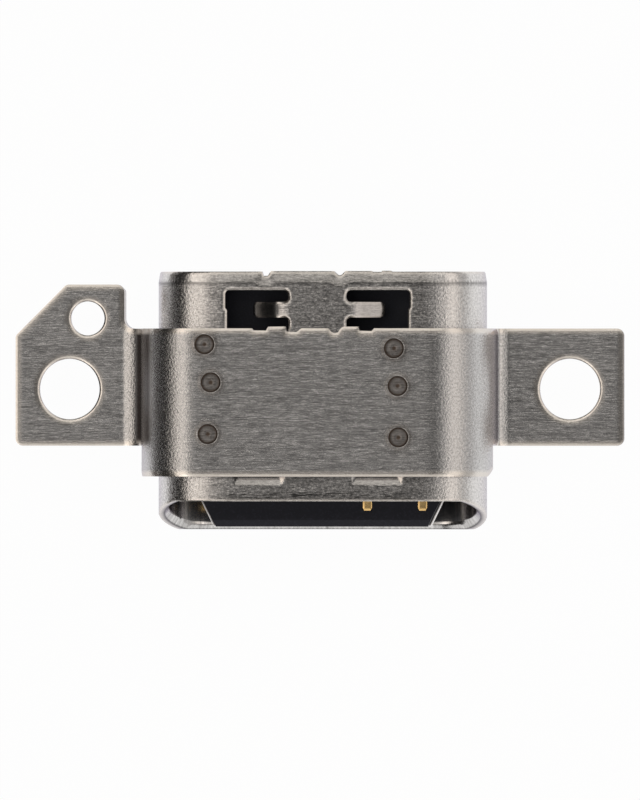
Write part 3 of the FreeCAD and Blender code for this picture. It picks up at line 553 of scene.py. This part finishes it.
def section(sizes, left):
    """Half the bracket's section from its middle, as arrays: the distance along the top face, its tilt, its
    place across, its height, and last where the ear starts. The tilt is nothing over the flat, grows evenly
    round the shoulder, holds down the wall for as long as the drop to the ear needs, and falls away through
    the bend by the tilts listed for it. Across and height are running sums of its cosine and sine."""
    out, tilt = np.array(BEND_TILTS[0 if left else 1]).T
    tilt = np.radians(tilt)
    steep, shoulder, flat = sizes.wall_tilt, sizes.shoulder / MM, sizes.flat / MM
    steps = np.append(np.diff(out) / np.cos((tilt[1:] + tilt[:-1]) / 2), BEND_START * (steep - tilt[-1]))
    tilt = np.append(tilt, steep)
    bend_drop = (steps * np.sin((tilt[1:] + tilt[:-1]) / 2)).sum()
    drop = (BRACKET_HIGH[2] - sizes.ear_top) / MM
    wall = (drop - shoulder * (1 - math.cos(steep)) - bend_drop) / math.sin(steep)
    knots = np.cumsum(np.concatenate([[0.0, flat, shoulder * steep, wall], steps[::-1], [EAR_RUN]]))
    tilts = np.concatenate([[0.0, 0.0, steep], tilt[::-1], [0.0]])
    along = np.linspace(0, knots[-1], SECTION_POINTS)
    turned = np.interp(along, knots, tilts)
    step = along[1]
    across = np.concatenate([[0.0], np.cumsum(np.cos((turned[1:] + turned[:-1]) / 2))]) * step
    fall = np.concatenate([[0.0], np.cumsum(np.sin((turned[1:] + turned[:-1]) / 2))]) * step
    height = BRACKET_HIGH[2] / MM - fall * drop / fall[-1]
    return along, turned, across, height, knots[-2]


def bracket_blank(sizes):
    """The unfolded bracket, across along its top from the strap's middle and back in the row frame: its
    outline, its holes, and its front, rear, left and right limits."""
    shifts = []
    for left in (True, False):
        along, turned, across, height, ear = section(sizes, left)
        shifts.append(ear - np.interp(ear, along, across))
    left_shift, right_shift = shifts
    flat, shoulder = sizes.flat / MM, sizes.shoulder / MM
    left_trim, right_trim = flat + shoulder * LEFT_TRIM, flat + shoulder * RIGHT_TRIM
    front = BRACKET_LOW[1] / MM
    ear_front = front + EAR_SETBACK
    left, right = left_shift + EAR_REACH, right_shift + EAR_REACH
    lobe_rear = BRACKET_HIGH[1] / MM
    outline = rounded_outline([
        (-left_trim, front, 0.16), (right_trim - 0.42, front, 0.05), (right_trim, front + 0.20, 0.06),
        (right_trim, ear_front, 0.04), (right, ear_front, 0.2), (right, EAR_REAR, 0.2)]
        + [(x, EAR_REAR + y) for x, y in STRAP_REAR]
        + [(-(left_shift + LOBE_INNER), EAR_REAR, 0.26), (-(left_shift + LOBE_INNER), lobe_rear, 0.21),
           (-(left_shift + LOBE_OUTER), lobe_rear, 0.15), (-left, LOBE_START, 0.15), (-left, ear_front, 0.2),
           (-left_trim, ear_front, 0.04)], 0.10)
    screw, locating = sizes.screw_hole / MM / 2, sizes.locating_hole / MM / 2
    holes = [ring((-(left_shift + SCREW_ACROSS), 0.0), screw, 72),
             ring((right_shift + SCREW_ACROSS, 0.0), screw, 72),
             ring((-(left_shift + LOCATING_ACROSS), LOCATING_BACK), locating, 48)]
    return outline, holes, front, lobe_rear, left, right


def fold_bracket(sizes, flat, into):
    """Folds the blank along its section, read at each point's distance from the middle, with the depth into
    the sheet laid off along the section's own normal. Returns the points and their tilts."""
    side, reach = np.sign(flat[:, 0]), np.abs(flat[:, 0])
    x, z, tilt = np.zeros(len(flat)), np.zeros(len(flat)), np.zeros(len(flat))
    for left in (True, False):
        along, turned, across, height, ear = section(sizes, left)
        here = (side < 0) == left
        tilt[here] = np.interp(reach[here], along, turned)
        x[here] = np.interp(reach[here], along, across)
        z[here] = np.interp(reach[here], along, height)
    x, z = x + into * np.sin(tilt), z + into * np.cos(tilt)
    return np.stack([side * x + sizes.shift / MM, flat[:, 1], z], 1), tilt


class SOCKET_OT_bracket(bpy.types.Operator):
    """Builds the bracket as one folded sheet with rolled edges, holes and spot welds"""
    bl_idname = "socket.bracket"
    bl_label = "Bracket"

    def execute(self, context):
        sizes = context.scene.socket_bracket
        outline, holes, front, lobe_rear, left, right = bracket_blank(sizes)
        lattices = [grid(-left, front, right, lobe_rear, 0.10)]
        # Finer points over the bends
        for low, high in ((-left + 2.6, -4.9), (4.9, right - 2.9)):
            lattices.append(grid(low, front, high, lobe_rear, 0.07))
        welds = [(x - sizes.shift / MM, back + SHELL_LOW[1] / MM) for x, back in WELDS]
        size = sizes.weld / MM / 2
        # Rings of points take the place of the lattice at each weld
        clear = np.ones(len(lattices[0]), bool)
        for weld in welds:
            clear &= np.hypot(*(lattices[0] - weld).T) > size * 1.55
        lattices[0] = lattices[0][clear]
        for weld in welds:
            lattices += [ring(weld, max(size * part, 1e-4), 6 if part == 0 else 40) for part in WELD_RINGS]
        flat, triangles = flat_blank(outline, holes, lattices, 0.05, (0.025, 0.055, 0.09))
        edge = edge_distance(flat, [outline] + holes)
        fall = np.maximum(roll(edge, sizes.edge_roll / MM, 0.022),
                          roll(edge_distance(flat, holes), 0.09, 0.04))
        to_weld = np.min([np.hypot(*(flat - weld).T) for weld in welds], axis=0) / size
        top, tilt = fold_bracket(sizes, flat, -fall + read_table(to_weld, WELD_RELIEF))
        under, tilt = fold_bracket(sizes, flat, -sizes.sheet / MM + roll(edge, 0.04, 0.006))
        piece, used = thick_sheet("dressed_bracket", triangles, top, under)

        blank = used % len(flat)
        upper = used < len(flat)
        # Painted shade in the left bend's crease, only behind the front of the ears
        painted_crease_shade = read_table(-flat[:, 0] - section(sizes, True)[4], CREASE_SHADE)
        painted_crease_shade = painted_crease_shade * np.clip((flat[:, 1] - front - EAR_SETBACK) / 0.1, 0, 1)
        paint(piece, "rim", read_table(edge, EDGE_RIM)[blank] * upper)
        paint(piece, "bend", np.clip(tilt * 3.5, 0, 1)[blank])
        paint(piece, "painted_crease_shade", painted_crease_shade[blank] * upper)
        paint(piece, "scorch", read_table(to_weld, WELD_SCORCH)[blank] * upper)
        paint(piece, "flat", np.column_stack([flat[blank] * MM, np.zeros(len(used))]))
        piece.data.materials.append(bracket_material(context.scene.socket_finish))
        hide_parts("bracket")
        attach(piece, "root")
        return {"FINISHED"}


# The tongue, in millimetres in the row frame

# Half the middle plate's outline from rear to front, its prong's inner corner, and the others' radius
PLATE_HALF = ((2.95, 1.64), (2.95, 0.72), (3.345, 0.72), (3.345, -0.96), (3.145, -0.96), (3.145, -1.86),
              (3.345, -1.86), (3.345, -2.96), (2.965, -3.73), (2.565, -3.73))
PRONG_INNER, PLATE_ROUNDING = (2.565, -3.51), 0.03
# How strongly shade is painted in a band inside the plate's bare edge, by the distance to the edge, and where
# the band ends
PLATE_EDGE_SHADE, EDGE_SHADE_END = ((0.02, 0.0), (0.045, 1.0), (0.07, 1.0), (0.09, 0.0)), -2.9


class SOCKET_OT_plate(bpy.types.Operator):
    """Builds the tongue's middle plate with rolled edges, so that its slanted sides catch the light"""
    bl_idname = "socket.plate"
    bl_label = "Middle plate"

    def execute(self, context):
        corners = [(x, y, PLATE_ROUNDING) for x, y in PLATE_HALF] + [PRONG_INNER]
        corners += [(-x, *rest) for x, *rest in corners[::-1]]
        outline = rounded_outline(corners, 0.06)
        wide, rear, front = PLATE_HALF[2][0], PLATE_HALF[0][1], PLATE_HALF[-1][1]
        lattice = grid(-wide, front, wide, rear, 0.3)
        flat, triangles = flat_blank(outline, [], [lattice], 0.05, (0.02, 0.045, 0.07, 0.09))
        edge = edge_distance(flat, [outline])
        fall = roll(edge, 0.045, 0.045)
        top = np.column_stack([flat, PLATE_HIGH[2] / MM - fall])
        under = np.column_stack([flat, PLATE_LOW[2] / MM + fall])
        piece, used = thick_sheet("dressed_mid_plate", triangles, top, under)
        # Painted shade: a dark band just inside the plate's slanted edges, towards the front
        edge_band_shade = read_table(edge, PLATE_EDGE_SHADE) * (flat[:, 1] < EDGE_SHADE_END)
        paint(piece, "painted_edge_shade", edge_band_shade[used % len(flat)])
        steel = plain_metal("mid_plate_steel", (0.96, 0.94, 0.93), roughness=0.34)
        piece.data.materials.append(steel)
        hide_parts("mid_plate")
        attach(piece, "root")
        return {"FINISHED"}


class SOCKET_OT_tongue(bpy.types.Operator):
    """Gives the tongue's mouldings, ground plates and contacts their finishes"""
    bl_idname = "socket.tongue"
    bl_label = "Tongue and contacts"

    def execute(self, context):
        finish = context.scene.socket_finish
        plastic = moulding_material(finish)
        gold = plain_metal("contact_gold", finish.gold, roughness=0.25, crowned=True)
        plate = plain_metal("plate_steel", (0.66, 0.65, 0.63), roughness=0.28)
        for name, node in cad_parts.items():
            if name in ("shell", "bracket", "mid_plate"):
                continue
            node.data.materials.clear()
            if name.startswith("contact_"):
                node.data.materials.append(gold)
            elif "plate" in name:
                node.data.materials.append(plate)
            else:
                node.data.materials.append(plastic)
        return {"FINISHED"}


# Materials, with lengths in metres

class NodeBench:
    """Adds nodes to a tree from left to right and links them by socket name."""

    def __init__(self, tree):
        self.tree = tree
        self.column = 0

    def add(self, kind, values=(), **settings):
        """A node with its settings, and each socket linked to the node socket given or set to the value."""
        node = self.tree.nodes.new(kind)
        node.location = (self.column * 190, 0)
        self.column += 1
        for name, setting in settings.items():
            setattr(node, name, setting)
        for socket, value in dict(values).items():
            target = node.inputs[socket]
            if isinstance(value, bpy.types.NodeSocket):
                self.tree.links.new(value, target)
            else:
                target.default_value = value
        return node

    def math(self, operation, *values, clamp=False):
        node = self.add("ShaderNodeMath", dict(enumerate(values)), operation=operation, use_clamp=clamp)
        return node.outputs[0]

    def plus(self, first, second):
        return self.math("ADD", first, second)

    def minus(self, first, second):
        return self.math("SUBTRACT", first, second)

    def times(self, first, second):
        return self.math("MULTIPLY", first, second)

    def mix(self, factor, first, second, blend="MIX"):
        """Two colours mixed; a colour given as three numbers is opaque."""
        values = {0: factor}
        for index, made in ((6, first), (7, second)):
            values[index] = made if isinstance(made, bpy.types.NodeSocket) else (*made[:3], 1.0)
        return self.add("ShaderNodeMix", values, data_type="RGBA", blend_type=blend).outputs[2]

    def span(self, value, low, high, to_low, to_high):
        return self.add("ShaderNodeMapRange", {0: value, 1: low, 2: high, 3: to_low, 4: to_high}).outputs[0]

    def attribute(self, name, kind="Fac"):
        return self.add("ShaderNodeAttribute", attribute_name=name).outputs[kind]

    def bump(self, height, strength, distance):
        return self.add("ShaderNodeBump", {"Height": height, "Strength": strength, "Distance": distance})

    def placed(self, group, place, **values):
        """The outputs of a node group laid over a place, with its own values."""
        return self.add("ShaderNodeGroup", {"Place": place, **values}, node_tree=group).outputs

    def show(self, shader, kind="ShaderNodeOutputMaterial"):
        """Makes a shader node the tree's result."""
        self.add(kind, {0: shader.outputs[0]})


def shader_group(name, sizes):
    """A new node group that takes a place and some sizes and gives a height and a tone. Returns its bench,
    the sockets that it reads from, the sockets that it feeds, and the group."""
    group = bpy.data.node_groups.new(name, "ShaderNodeTree")
    group.interface.new_socket(name="Place", in_out="INPUT", socket_type="NodeSocketVector")
    for socket, default in sizes.items():
        made = group.interface.new_socket(name=socket, in_out="INPUT", socket_type="NodeSocketFloat")
        made.default_value = default
    for socket in ("Height", "Tone"):
        group.interface.new_socket(name=socket, in_out="OUTPUT", socket_type="NodeSocketFloat")
    bench = NodeBench(group)
    return bench, bench.add("NodeGroupInput").outputs, group.nodes.new("NodeGroupOutput").inputs, group


def grain_group():
    """Fine scratches along X in a sheet, from two stretched noises: the fine one is the height, and three
    parts of it to one of the wide one are the tone."""
    if "sheet_grain" in bpy.data.node_groups:
        return bpy.data.node_groups["sheet_grain"]
    bench, source, sink, group = shader_group("sheet_grain", {"Length": 0.0012, "Width": 0.00006})
    along = bench.math("DIVIDE", 1.0, source["Length"])
    over = bench.math("DIVIDE", 1.0, source["Width"])
    scale = bench.add("ShaderNodeCombineXYZ", {0: along, 1: over, 2: over}).outputs[0]
    place = bench.add("ShaderNodeVectorMath", {0: source["Place"], 1: scale}, operation="MULTIPLY").outputs[0]
    fine = bench.add("ShaderNodeTexNoise", {"Vector": place, "Scale": 1.0, "Detail": 3.0, "Roughness": 0.7})
    wide = bench.add("ShaderNodeTexNoise", {"Vector": place, "Scale": 0.23, "Detail": 2.0, "Roughness": 0.5})
    tone = bench.plus(bench.times(fine.outputs["Fac"], 0.75), bench.times(wide.outputs["Fac"], 0.25))
    group.links.new(fine.outputs["Fac"], sink["Height"])
    group.links.new(tone, sink["Tone"])
    return group


def peel_group():
    """The orange peel of drawn and bent steel: three parts soft cells to one part grit, about two fifths
    their size, are the height, and the cells alone are the tone."""
    if "drawn_peel" in bpy.data.node_groups:
        return bpy.data.node_groups["drawn_peel"]
    bench, source, sink, group = shader_group("drawn_peel", {"Cell": 0.0001})
    place = source["Place"]
    scale = bench.math("DIVIDE", 1.0, source["Cell"])
    cells = bench.add("ShaderNodeTexNoise",
                      {"Vector": place, "Scale": scale, "Detail": 2.5, "Roughness": 0.62})
    grit = bench.add("ShaderNodeTexNoise", {"Vector": place, "Scale": bench.times(scale, 2.6), "Detail": 1.0})
    height = bench.plus(bench.times(cells.outputs["Fac"], 0.75), bench.times(grit.outputs["Fac"], 0.25))
    group.links.new(height, sink["Height"])
    group.links.new(bench.span(cells.outputs["Fac"], 0.3, 0.7, 0.0, 1.0), sink["Tone"])
    return group


def new_material(name):
    """An empty material and the bench of its node tree."""
    made = bpy.data.materials.new(name)
    made.use_nodes = True
    made.node_tree.nodes.clear()
    return made, NodeBench(made.node_tree)


def finish_material(bench, base, roughness, metallic, normal, constants=()):
    """Ends a material in a Principled shader; the constants go on its own sockets."""
    values = {"Base Color": base, "Roughness": roughness, "Metallic": metallic, "Normal": normal}
    bench.show(bench.add("ShaderNodeBsdfPrincipled", {**values, **dict(constants)}))


def shell_material(finish):
    """Nickel-plated drawn steel: peel everywhere, rolling marks on the flats, bends given a lighter base than
    the flats as painted highlight and shade, burnished cut rims, a painted highlight on the pads' right
    walls, painted shade where it is set, dark streaks on the front band, and a darker inside with marks that
    run back from the mouth."""
    made, bench = new_material("nickel_shell")
    place = bench.attribute("flat", "Vector")
    rim, bend, calm = bench.attribute("rim"), bench.attribute("bend"), bench.attribute("calm")
    inside = bench.attribute("inside")
    peel = bench.placed(peel_group(), place, Cell=0.00007)
    grain = bench.placed(grain_group(), place, Length=0.00017, Width=0.000036)
    streaks = bench.placed(grain_group(), place, Length=0.00035, Width=0.00004)
    parts = bench.add("ShaderNodeSeparateXYZ", {0: place}).outputs
    turned = bench.add("ShaderNodeCombineXYZ", {0: parts[1], 1: parts[0]}).outputs[0]
    draws = bench.placed(grain_group(), turned, Length=0.0012, Width=0.00009)
    flatness = bench.minus(1.0, bend)
    height = bench.plus(bench.times(peel["Height"], bench.span(bend, 0.0, 1.0, 0.3, 0.85)),
                        bench.times(grain["Height"], bench.times(flatness, 0.45)))
    calmer = bench.minus(1.0, bench.math("MAXIMUM", bench.times(rim, 0.6), calm))
    bump = bench.bump(bench.times(height, calmer), finish.peel, 0.000018)

    tone = bench.plus(bench.times(bench.minus(grain["Tone"], 0.5), 3.6),
                      bench.times(bench.minus(peel["Tone"], 0.5), 0.5))
    tone = bench.times(tone, bench.span(calm, 0.0, 1.0, 0.9, 0.25))
    # Painted highlight and shade: the bends get a lighter base than the flats, about 1.14 against 0.73
    shade = bench.plus(bench.times(bench.plus(0.73, tone), flatness),
                       bench.times(bench.span(peel["Tone"], 0.0, 1.0, 0.90, 1.38), bend))
    dark_streak = bench.times(bench.attribute("front_streaks"), bench.span(streaks["Tone"], 0.42, 0.54, 0.85, 0.0))
    shade = bench.times(shade, bench.minus(1.0, dark_streak))
    draw = bench.span(draws["Tone"], 0.35, 0.65, 0.65, 1.2)
    shade = bench.add("ShaderNodeMix", {0: inside, 2: shade, 3: draw}, data_type="FLOAT").outputs[0]
    # Painted shade wherever the shaded attribute is set
    shade = bench.times(shade, bench.span(bench.attribute("shaded"), 0.0, 1.0, 1.0, 0.2))
    base = bench.mix(1.0, finish.nickel, shade, "MULTIPLY")
    # The rim attribute carries the burnished cut edges and also the painted highlight on the pads' right
    # walls
    base = bench.mix(bench.times(rim, 0.8), base, finish.rim)
    roughness = bench.minus(bench.span(peel["Tone"], 0.0, 1.0, 0.17, 0.26), bench.times(calm, 0.03))
    finish_material(bench, base, roughness, 1.0, bump.outputs[0], {"Specular Tint": (*finish.edge_tint, 1)})
    return made


def bracket_material(finish):
    """Brushed steel: grain along X on the flats, peel in the bends, flats a little darker than the bends as
    painted shade, burnished rims, weld heat, and painted shade in the left bend's crease, dark brown and less
    metallic."""
    made, bench = new_material("brushed_bracket")
    place = bench.attribute("flat", "Vector")
    rim, bend, scorch = bench.attribute("rim"), bench.attribute("bend"), bench.attribute("scorch")
    painted_crease_shade = bench.attribute("painted_crease_shade")
    peel = bench.placed(peel_group(), place, Cell=0.00006)
    grit = bench.placed(peel_group(), place, Cell=0.000028)
    grain = bench.placed(grain_group(), place, Length=0.00036, Width=0.000030)
    flatness = bench.minus(1.0, bend)
    height = bench.plus(bench.times(peel["Height"], bench.span(bend, 0.0, 1.0, 0.3, 1.0)),
                        bench.times(grain["Height"], bench.times(flatness, 0.5)))
    calmer = bench.minus(1.0, bench.times(rim, 0.7))
    bump = bench.bump(bench.times(height, calmer), finish.grain, 0.000014)

    tone = bench.plus(bench.times(bench.minus(grain["Tone"], 0.5), 3.2),
                      bench.times(bench.minus(grit["Tone"], 0.5), 0.5))
    speckle = bench.times(bench.minus(peel["Tone"], 0.5), 0.38)
    marks = bench.plus(bench.times(tone, flatness), bench.times(speckle, bend))
    # Painted shade: the flats get a base a little darker than the bends, 0.88 against 0.95
    shade = bench.plus(bench.span(bend, 0.0, 1.0, 0.88, 0.95), marks)
    base = bench.mix(1.0, finish.steel, shade, "MULTIPLY")
    # Painted shade: the crease turns dark brown
    base = bench.mix(bench.times(painted_crease_shade, 0.95), base, (0.03, 0.021, 0.017))
    base = bench.mix(bench.times(rim, 0.8), base, finish.rim)
    burnt = bench.mix(peel["Tone"], [c * 0.55 for c in finish.scorch], [c * 1.35 for c in finish.scorch])
    base = bench.mix(bench.times(scorch, 0.95), base, burnt)
    roughness = bench.plus(bench.span(peel["Tone"], 0.0, 1.0, 0.17, 0.27), bench.times(scorch, 0.15))
    # The painted crease shade is made less metallic, so that it stays dark
    metallic = bench.span(painted_crease_shade, 0.0, 1.0, 1.0, 0.2)
    finish_material(bench, base, roughness, metallic, bump.outputs[0],
                    {"Specular Tint": (*finish.edge_tint, 1)})
    return made


def strip_crown(bench, place):
    """How far a contact's face falls towards its long sides and its tip: the square of the share of the way
    from 0.05 mm off its middle to its side, with a middle every half millimetre across, and the square of
    the share of the last 0.10 mm to the tip."""
    parts = bench.add("ShaderNodeSeparateXYZ", {0: place}).outputs
    pitch = bench.math("FRACT", bench.plus(bench.math("DIVIDE", parts[0], 0.0005), 100.0))
    off = bench.math("ABSOLUTE", bench.minus(pitch, 0.5))
    aside = bench.math("POWER", bench.span(off, 0.10, 0.25, 0.0, 1.0), 2.0)
    ahead = bench.math("POWER", bench.span(parts[1], -0.003295, -0.003195, 1.0, 0.0), 2.0)
    return bench.math("MAXIMUM", aside, ahead)


def plain_metal(name, tone, roughness, crowned=False):
    """Stamped metal of the inner pieces: a faint peel and a drift of tone on Object coordinates, painted
    shade near black where the edge shade is set, and for contacts a face crowned towards its edges."""
    made, bench = new_material(name)
    place = bench.add("ShaderNodeTexCoord").outputs["Object"]
    peel = bench.placed(peel_group(), place, Cell=0.00008)
    base = bench.mix(1.0, tone, bench.span(peel["Tone"], 0.0, 1.0, 0.86, 1.0), "MULTIPLY")
    # Painted shade: near black where the edge shade is set
    base = bench.mix(bench.times(bench.attribute("painted_edge_shade"), 0.9), base, (0.02, 0.02, 0.024))
    bump = bench.bump(peel["Height"], 0.6, 0.000003)
    if crowned:
        crown = bench.bump(bench.minus(1.0, strip_crown(bench, place)), 1.0, 0.000018)
        bench.tree.links.new(crown.outputs[0], bump.inputs["Normal"])
    varied = bench.span(peel["Tone"], 0.0, 1.0, roughness - 0.05, roughness + 0.05)
    finish_material(bench, base, varied, 1.0, bump.outputs[0])
    return made


def moulding_material(finish):
    """Black glass-filled plastic: a fine matt grain and paler specks."""
    made, bench = new_material("black_moulding")
    place = bench.add("ShaderNodeTexCoord").outputs["Object"]
    peel = bench.placed(peel_group(), place, Cell=0.00005)
    specks = bench.span(peel["Tone"], 0.55, 1.0, 0.0, 1.0)
    base = bench.mix(specks, finish.moulding, [c * 3.0 for c in finish.moulding])
    bump = bench.bump(peel["Height"], 0.5, 0.000004)
    finish_material(bench, base, bench.span(peel["Tone"], 0.0, 1.0, 0.38, 0.5), 0.0, bump.outputs[0],
                    {"Specular IOR Level": 0.42, "Specular Tint": (0.85, 0.88, 1.0, 1)})
    return made


# The stage, in metres

WHITE = (1.0, 1.0, 1.0, 1.0)
# Half the floor's side, and how far it lies under the socket
FLOOR_REACH, FLOOR_GAP = 0.3, 0.00002
# The tent's radius, half its length, and its glow by the degrees from straight up, rising to the right
TENT_RADIUS, TENT_HALF = 0.36, 1.1
TENT_TONES = ((-90, 0.02), (-60, 0.02), (-52, 0.12), (-46, 0.26), (-25, 0.30), (-12, 0.25), (-5.4, 0.21),
              (2, 0.13), (14, 0.09), (22, 0.16), (30, 0.42), (42, 0.54), (52, 0.46), (60, 0.38), (68, 0.40),
              (77, 0.55), (90, 0.54))
# Each lamp's name, heading, degrees from straight up, distance, width, height, brightness and tint
LAMPS = (("left_box", (-1, 0), 39, 0.30, 0.115, 0.55, 1.02, (1.0, 0.91, 0.82)),
         ("right_box", (1, 0), 50, 0.30, 0.15, 0.55, 0.57, (1.0, 0.90, 0.81)),
         ("front_box", (0, -1), 38, 0.32, 0.50, 0.22, 0.6, (1.0, 0.95, 0.9)),
         ("rear_box", (0, 1), 36, 0.32, 0.30, 0.22, 0.75, (1.0, 0.95, 0.88)))
SENSOR_WIDTH = 36.0
# What the camera looks at, in millimetres
TARGET = (-0.072, -0.298, 1.58)


def soft_lamp(name, heading, degrees, away, wide, tall, brightness, tint):
    """A rectangular lamp that faces the socket from a heading, so many degrees from straight up; its power is
    pi times its area times the brightness that its face shows in a mirror."""
    lamp = bpy.data.lights.new(name, "AREA")
    lamp.shape = "RECTANGLE"
    lamp.size, lamp.size_y = wide, tall
    lamp.energy = math.pi * wide * tall * brightness
    lamp.color = tint
    holder = bpy.data.objects.new(name, lamp)
    lean = math.radians(degrees)
    toward = (heading[0] * math.sin(lean), heading[1] * math.sin(lean), math.cos(lean))
    direction = np.array(toward, float) / np.linalg.norm(toward)
    side = np.cross((0.0, 1.0, 0.0), direction)
    side = side / np.linalg.norm(side)
    turned = np.eye(4)
    turned[:3, 0], turned[:3, 1] = side, np.cross(direction, side)
    turned[:3, 2], turned[:3, 3] = direction, direction * away
    holder.matrix_world = Matrix(turned.tolist())
    bpy.context.scene.collection.objects.link(holder)


def show_white(bench, part):
    """How much a surface shows plain white: to the camera, in reflections and through glass."""
    path = bench.add("ShaderNodeLightPath").outputs
    seen = bench.math("ADD", path["Is Camera Ray"], path["Is Glossy Ray"], clamp=True)
    seen = bench.math("ADD", seen, path["Is Transmission Ray"], clamp=True)
    return bench.times(seen, part)


def floor_material(tint):
    """A pale floor that reads white to the camera and in reflections, with a trace of the socket's shadow."""
    made, bench = new_material("pale_floor")
    seen = show_white(bench, 0.97)
    matt = bench.add("ShaderNodeBsdfDiffuse", {"Color": (*tint, 1)})
    glow = bench.add("ShaderNodeEmission", {"Color": WHITE, "Strength": 1.0})
    bench.show(bench.add("ShaderNodeMixShader", {0: seen, 1: matt.outputs[0], 2: glow.outputs[0]}))
    return made


def white_world(overhead):
    """White to the camera and in reflections, and a dim even sky to matt surfaces."""
    world = bpy.data.worlds.new("studio")
    world.use_nodes = True
    world.node_tree.nodes.clear()
    bench = NodeBench(world.node_tree)
    dim = bench.add("ShaderNodeBackground", {"Color": WHITE, "Strength": overhead})
    white = bench.add("ShaderNodeBackground", {"Color": WHITE, "Strength": 1.0})
    seen = show_white(bench, 1.0)
    mixed = bench.add("ShaderNodeMixShader", {0: seen, 1: dim.outputs[0], 2: white.outputs[0]})
    bench.show(mixed, "ShaderNodeOutputWorld")
    return world


def tent_material():
    """The tent's glow by its turn from straight up: dark at the left, grey overhead, pale at the right."""
    made, bench = new_material("studio_tent")
    ramp = bench.add("ShaderNodeValToRGB", {0: bench.span(bench.attribute("turn"), -90.0, 90.0, 0.0, 1.0)})
    stops = ramp.color_ramp.elements
    for index, (degrees, tone) in enumerate(TENT_TONES):
        place = (degrees + 90) / 180
        stop = stops[0] if index == 0 else stops[-1] if degrees == 90 else stops.new(place)
        stop.position = place
        stop.color = (tone, tone * 0.975, tone * 0.96, 1)
    bench.show(bench.add("ShaderNodeEmission", {"Color": ramp.outputs[0], "Strength": 1.0}))
    return made


def dark_card_material():
    """The brown card that the left bends reflect."""
    made, bench = new_material("dark_card")
    bench.show(bench.add("ShaderNodeBsdfDiffuse", {"Color": (0.075, 0.06, 0.055, 1)}))
    return made


def stage_sheet(name, points, across, material, hidden=False):
    """A sheet of the stage from a grid of points, so many across; a hidden one casts no shadow and isn't
    seen by the camera."""
    count = len(points) // across
    first = (np.arange(count - 1)[:, None] * across + np.arange(across - 1)[None]).ravel()
    faces = np.stack([first, first + 1, first + across + 1, first + across], 1)
    mesh = bpy.data.meshes.new(name)
    mesh.from_pydata(points.tolist(), [], faces.tolist())
    sheet = bpy.data.objects.new(name, mesh)
    bpy.context.scene.collection.objects.link(sheet)
    mesh.materials.append(material)
    if hidden:
        sheet.visible_camera = False
        sheet.visible_shadow = False
    return sheet


class SOCKET_OT_stage(bpy.types.Operator):
    """Sets the pale floor, the soft lamps, the studio sky and the camera"""
    bl_idname = "socket.stage"
    bl_label = "Stage"

    def execute(self, context):
        stage = context.scene.socket_stage
        corners = np.array([(-1, -1, 0), (1, -1, 0), (-1, 1, 0), (1, 1, 0)])
        stage_sheet("floor", corners * FLOOR_REACH - [0, 0, FLOOR_GAP], 2, floor_material(stage.floor))
        stage_sheet("dark_card", corners * [0.035, 0.06, 0] + [-0.0485, 0, 0], 2, dark_card_material(), True)
        turn = np.linspace(-90, 90, 181)
        arch = np.stack([np.sin(np.radians(turn)), np.zeros(181), np.cos(np.radians(turn))], 1) * TENT_RADIUS
        ends = np.concatenate([arch + [0, y, 0] for y in (-TENT_HALF, TENT_HALF)])
        tent = stage_sheet("tent", ends, 181, tent_material(), True)
        paint(tent, "turn", np.tile(turn, 2))
        for name, heading, degrees, away, wide, tall, brightness, tint in LAMPS:
            soft_lamp(name, heading, degrees, away, wide, tall, brightness * stage.lamps, tint)
        context.scene.world = white_world(stage.overhead)
        context.scene.view_settings.view_transform = "Standard"
        camera = bpy.data.cameras.new("camera")
        camera.lens = stage.lens
        camera.sensor_width = SENSOR_WIDTH
        camera.clip_start, camera.clip_end = 0.005, 5.0
        holder = bpy.data.objects.new("camera", camera)
        away = stage.frame_height * stage.lens / SENSOR_WIDTH
        lean = np.array([math.sin(stage.lean), 0.0, math.cos(stage.lean)])
        holder.location = (np.array(TARGET) * MM + lean * away).tolist()
        holder.rotation_euler = (0.0, stage.lean, 0.0)
        context.scene.collection.objects.link(holder)
        context.scene.camera = holder
        return {"FINISHED"}


# The panel and the run

GROUPS = {"socket_shell": SocketShellSizes, "socket_bracket": SocketBracketSizes,
          "socket_finish": SocketFinish, "socket_stage": SocketStage}
# Each operator, with the sizes or colours shown under it
STEPS = (("socket.shell", "socket_shell"), ("socket.bracket", "socket_bracket"), ("socket.plate", None),
         ("socket.tongue", "socket_finish"), ("socket.stage", "socket_stage"))


class SOCKET_PT_build(bpy.types.Panel):
    """Lists the socket's pieces, with the sizes and colours of each"""
    bl_idname = "SOCKET_PT_build"
    bl_label = "USB-C socket"
    bl_space_type = "VIEW_3D"
    bl_region_type = "UI"
    bl_category = "Socket"

    def draw(self, context):
        for operator, group in STEPS:
            box = self.layout.box()
            box.operator(operator)
            if group is None:
                continue
            settings = getattr(context.scene, group)
            for name in settings.bl_rna.properties.keys():
                if name not in ("rna_type", "name"):
                    box.prop(settings, name)


CLASSES = (*GROUPS.values(), SOCKET_OT_shell, SOCKET_OT_bracket, SOCKET_OT_plate, SOCKET_OT_tongue,
           SOCKET_OT_stage, SOCKET_PT_build)


def register():
    for made in CLASSES:
        bpy.utils.register_class(made)
    for name, group in GROUPS.items():
        setattr(bpy.types.Scene, name, PointerProperty(type=group))


def unregister():
    for name in GROUPS:
        delattr(bpy.types.Scene, name)
    for made in reversed(CLASSES):
        bpy.utils.unregister_class(made)


def main():
    register()
    bpy.ops.socket.shell()
    bpy.ops.socket.bracket()
    bpy.ops.socket.plate()
    bpy.ops.socket.tongue()
    bpy.ops.socket.stage()


if __name__ == "__main__":
    main()
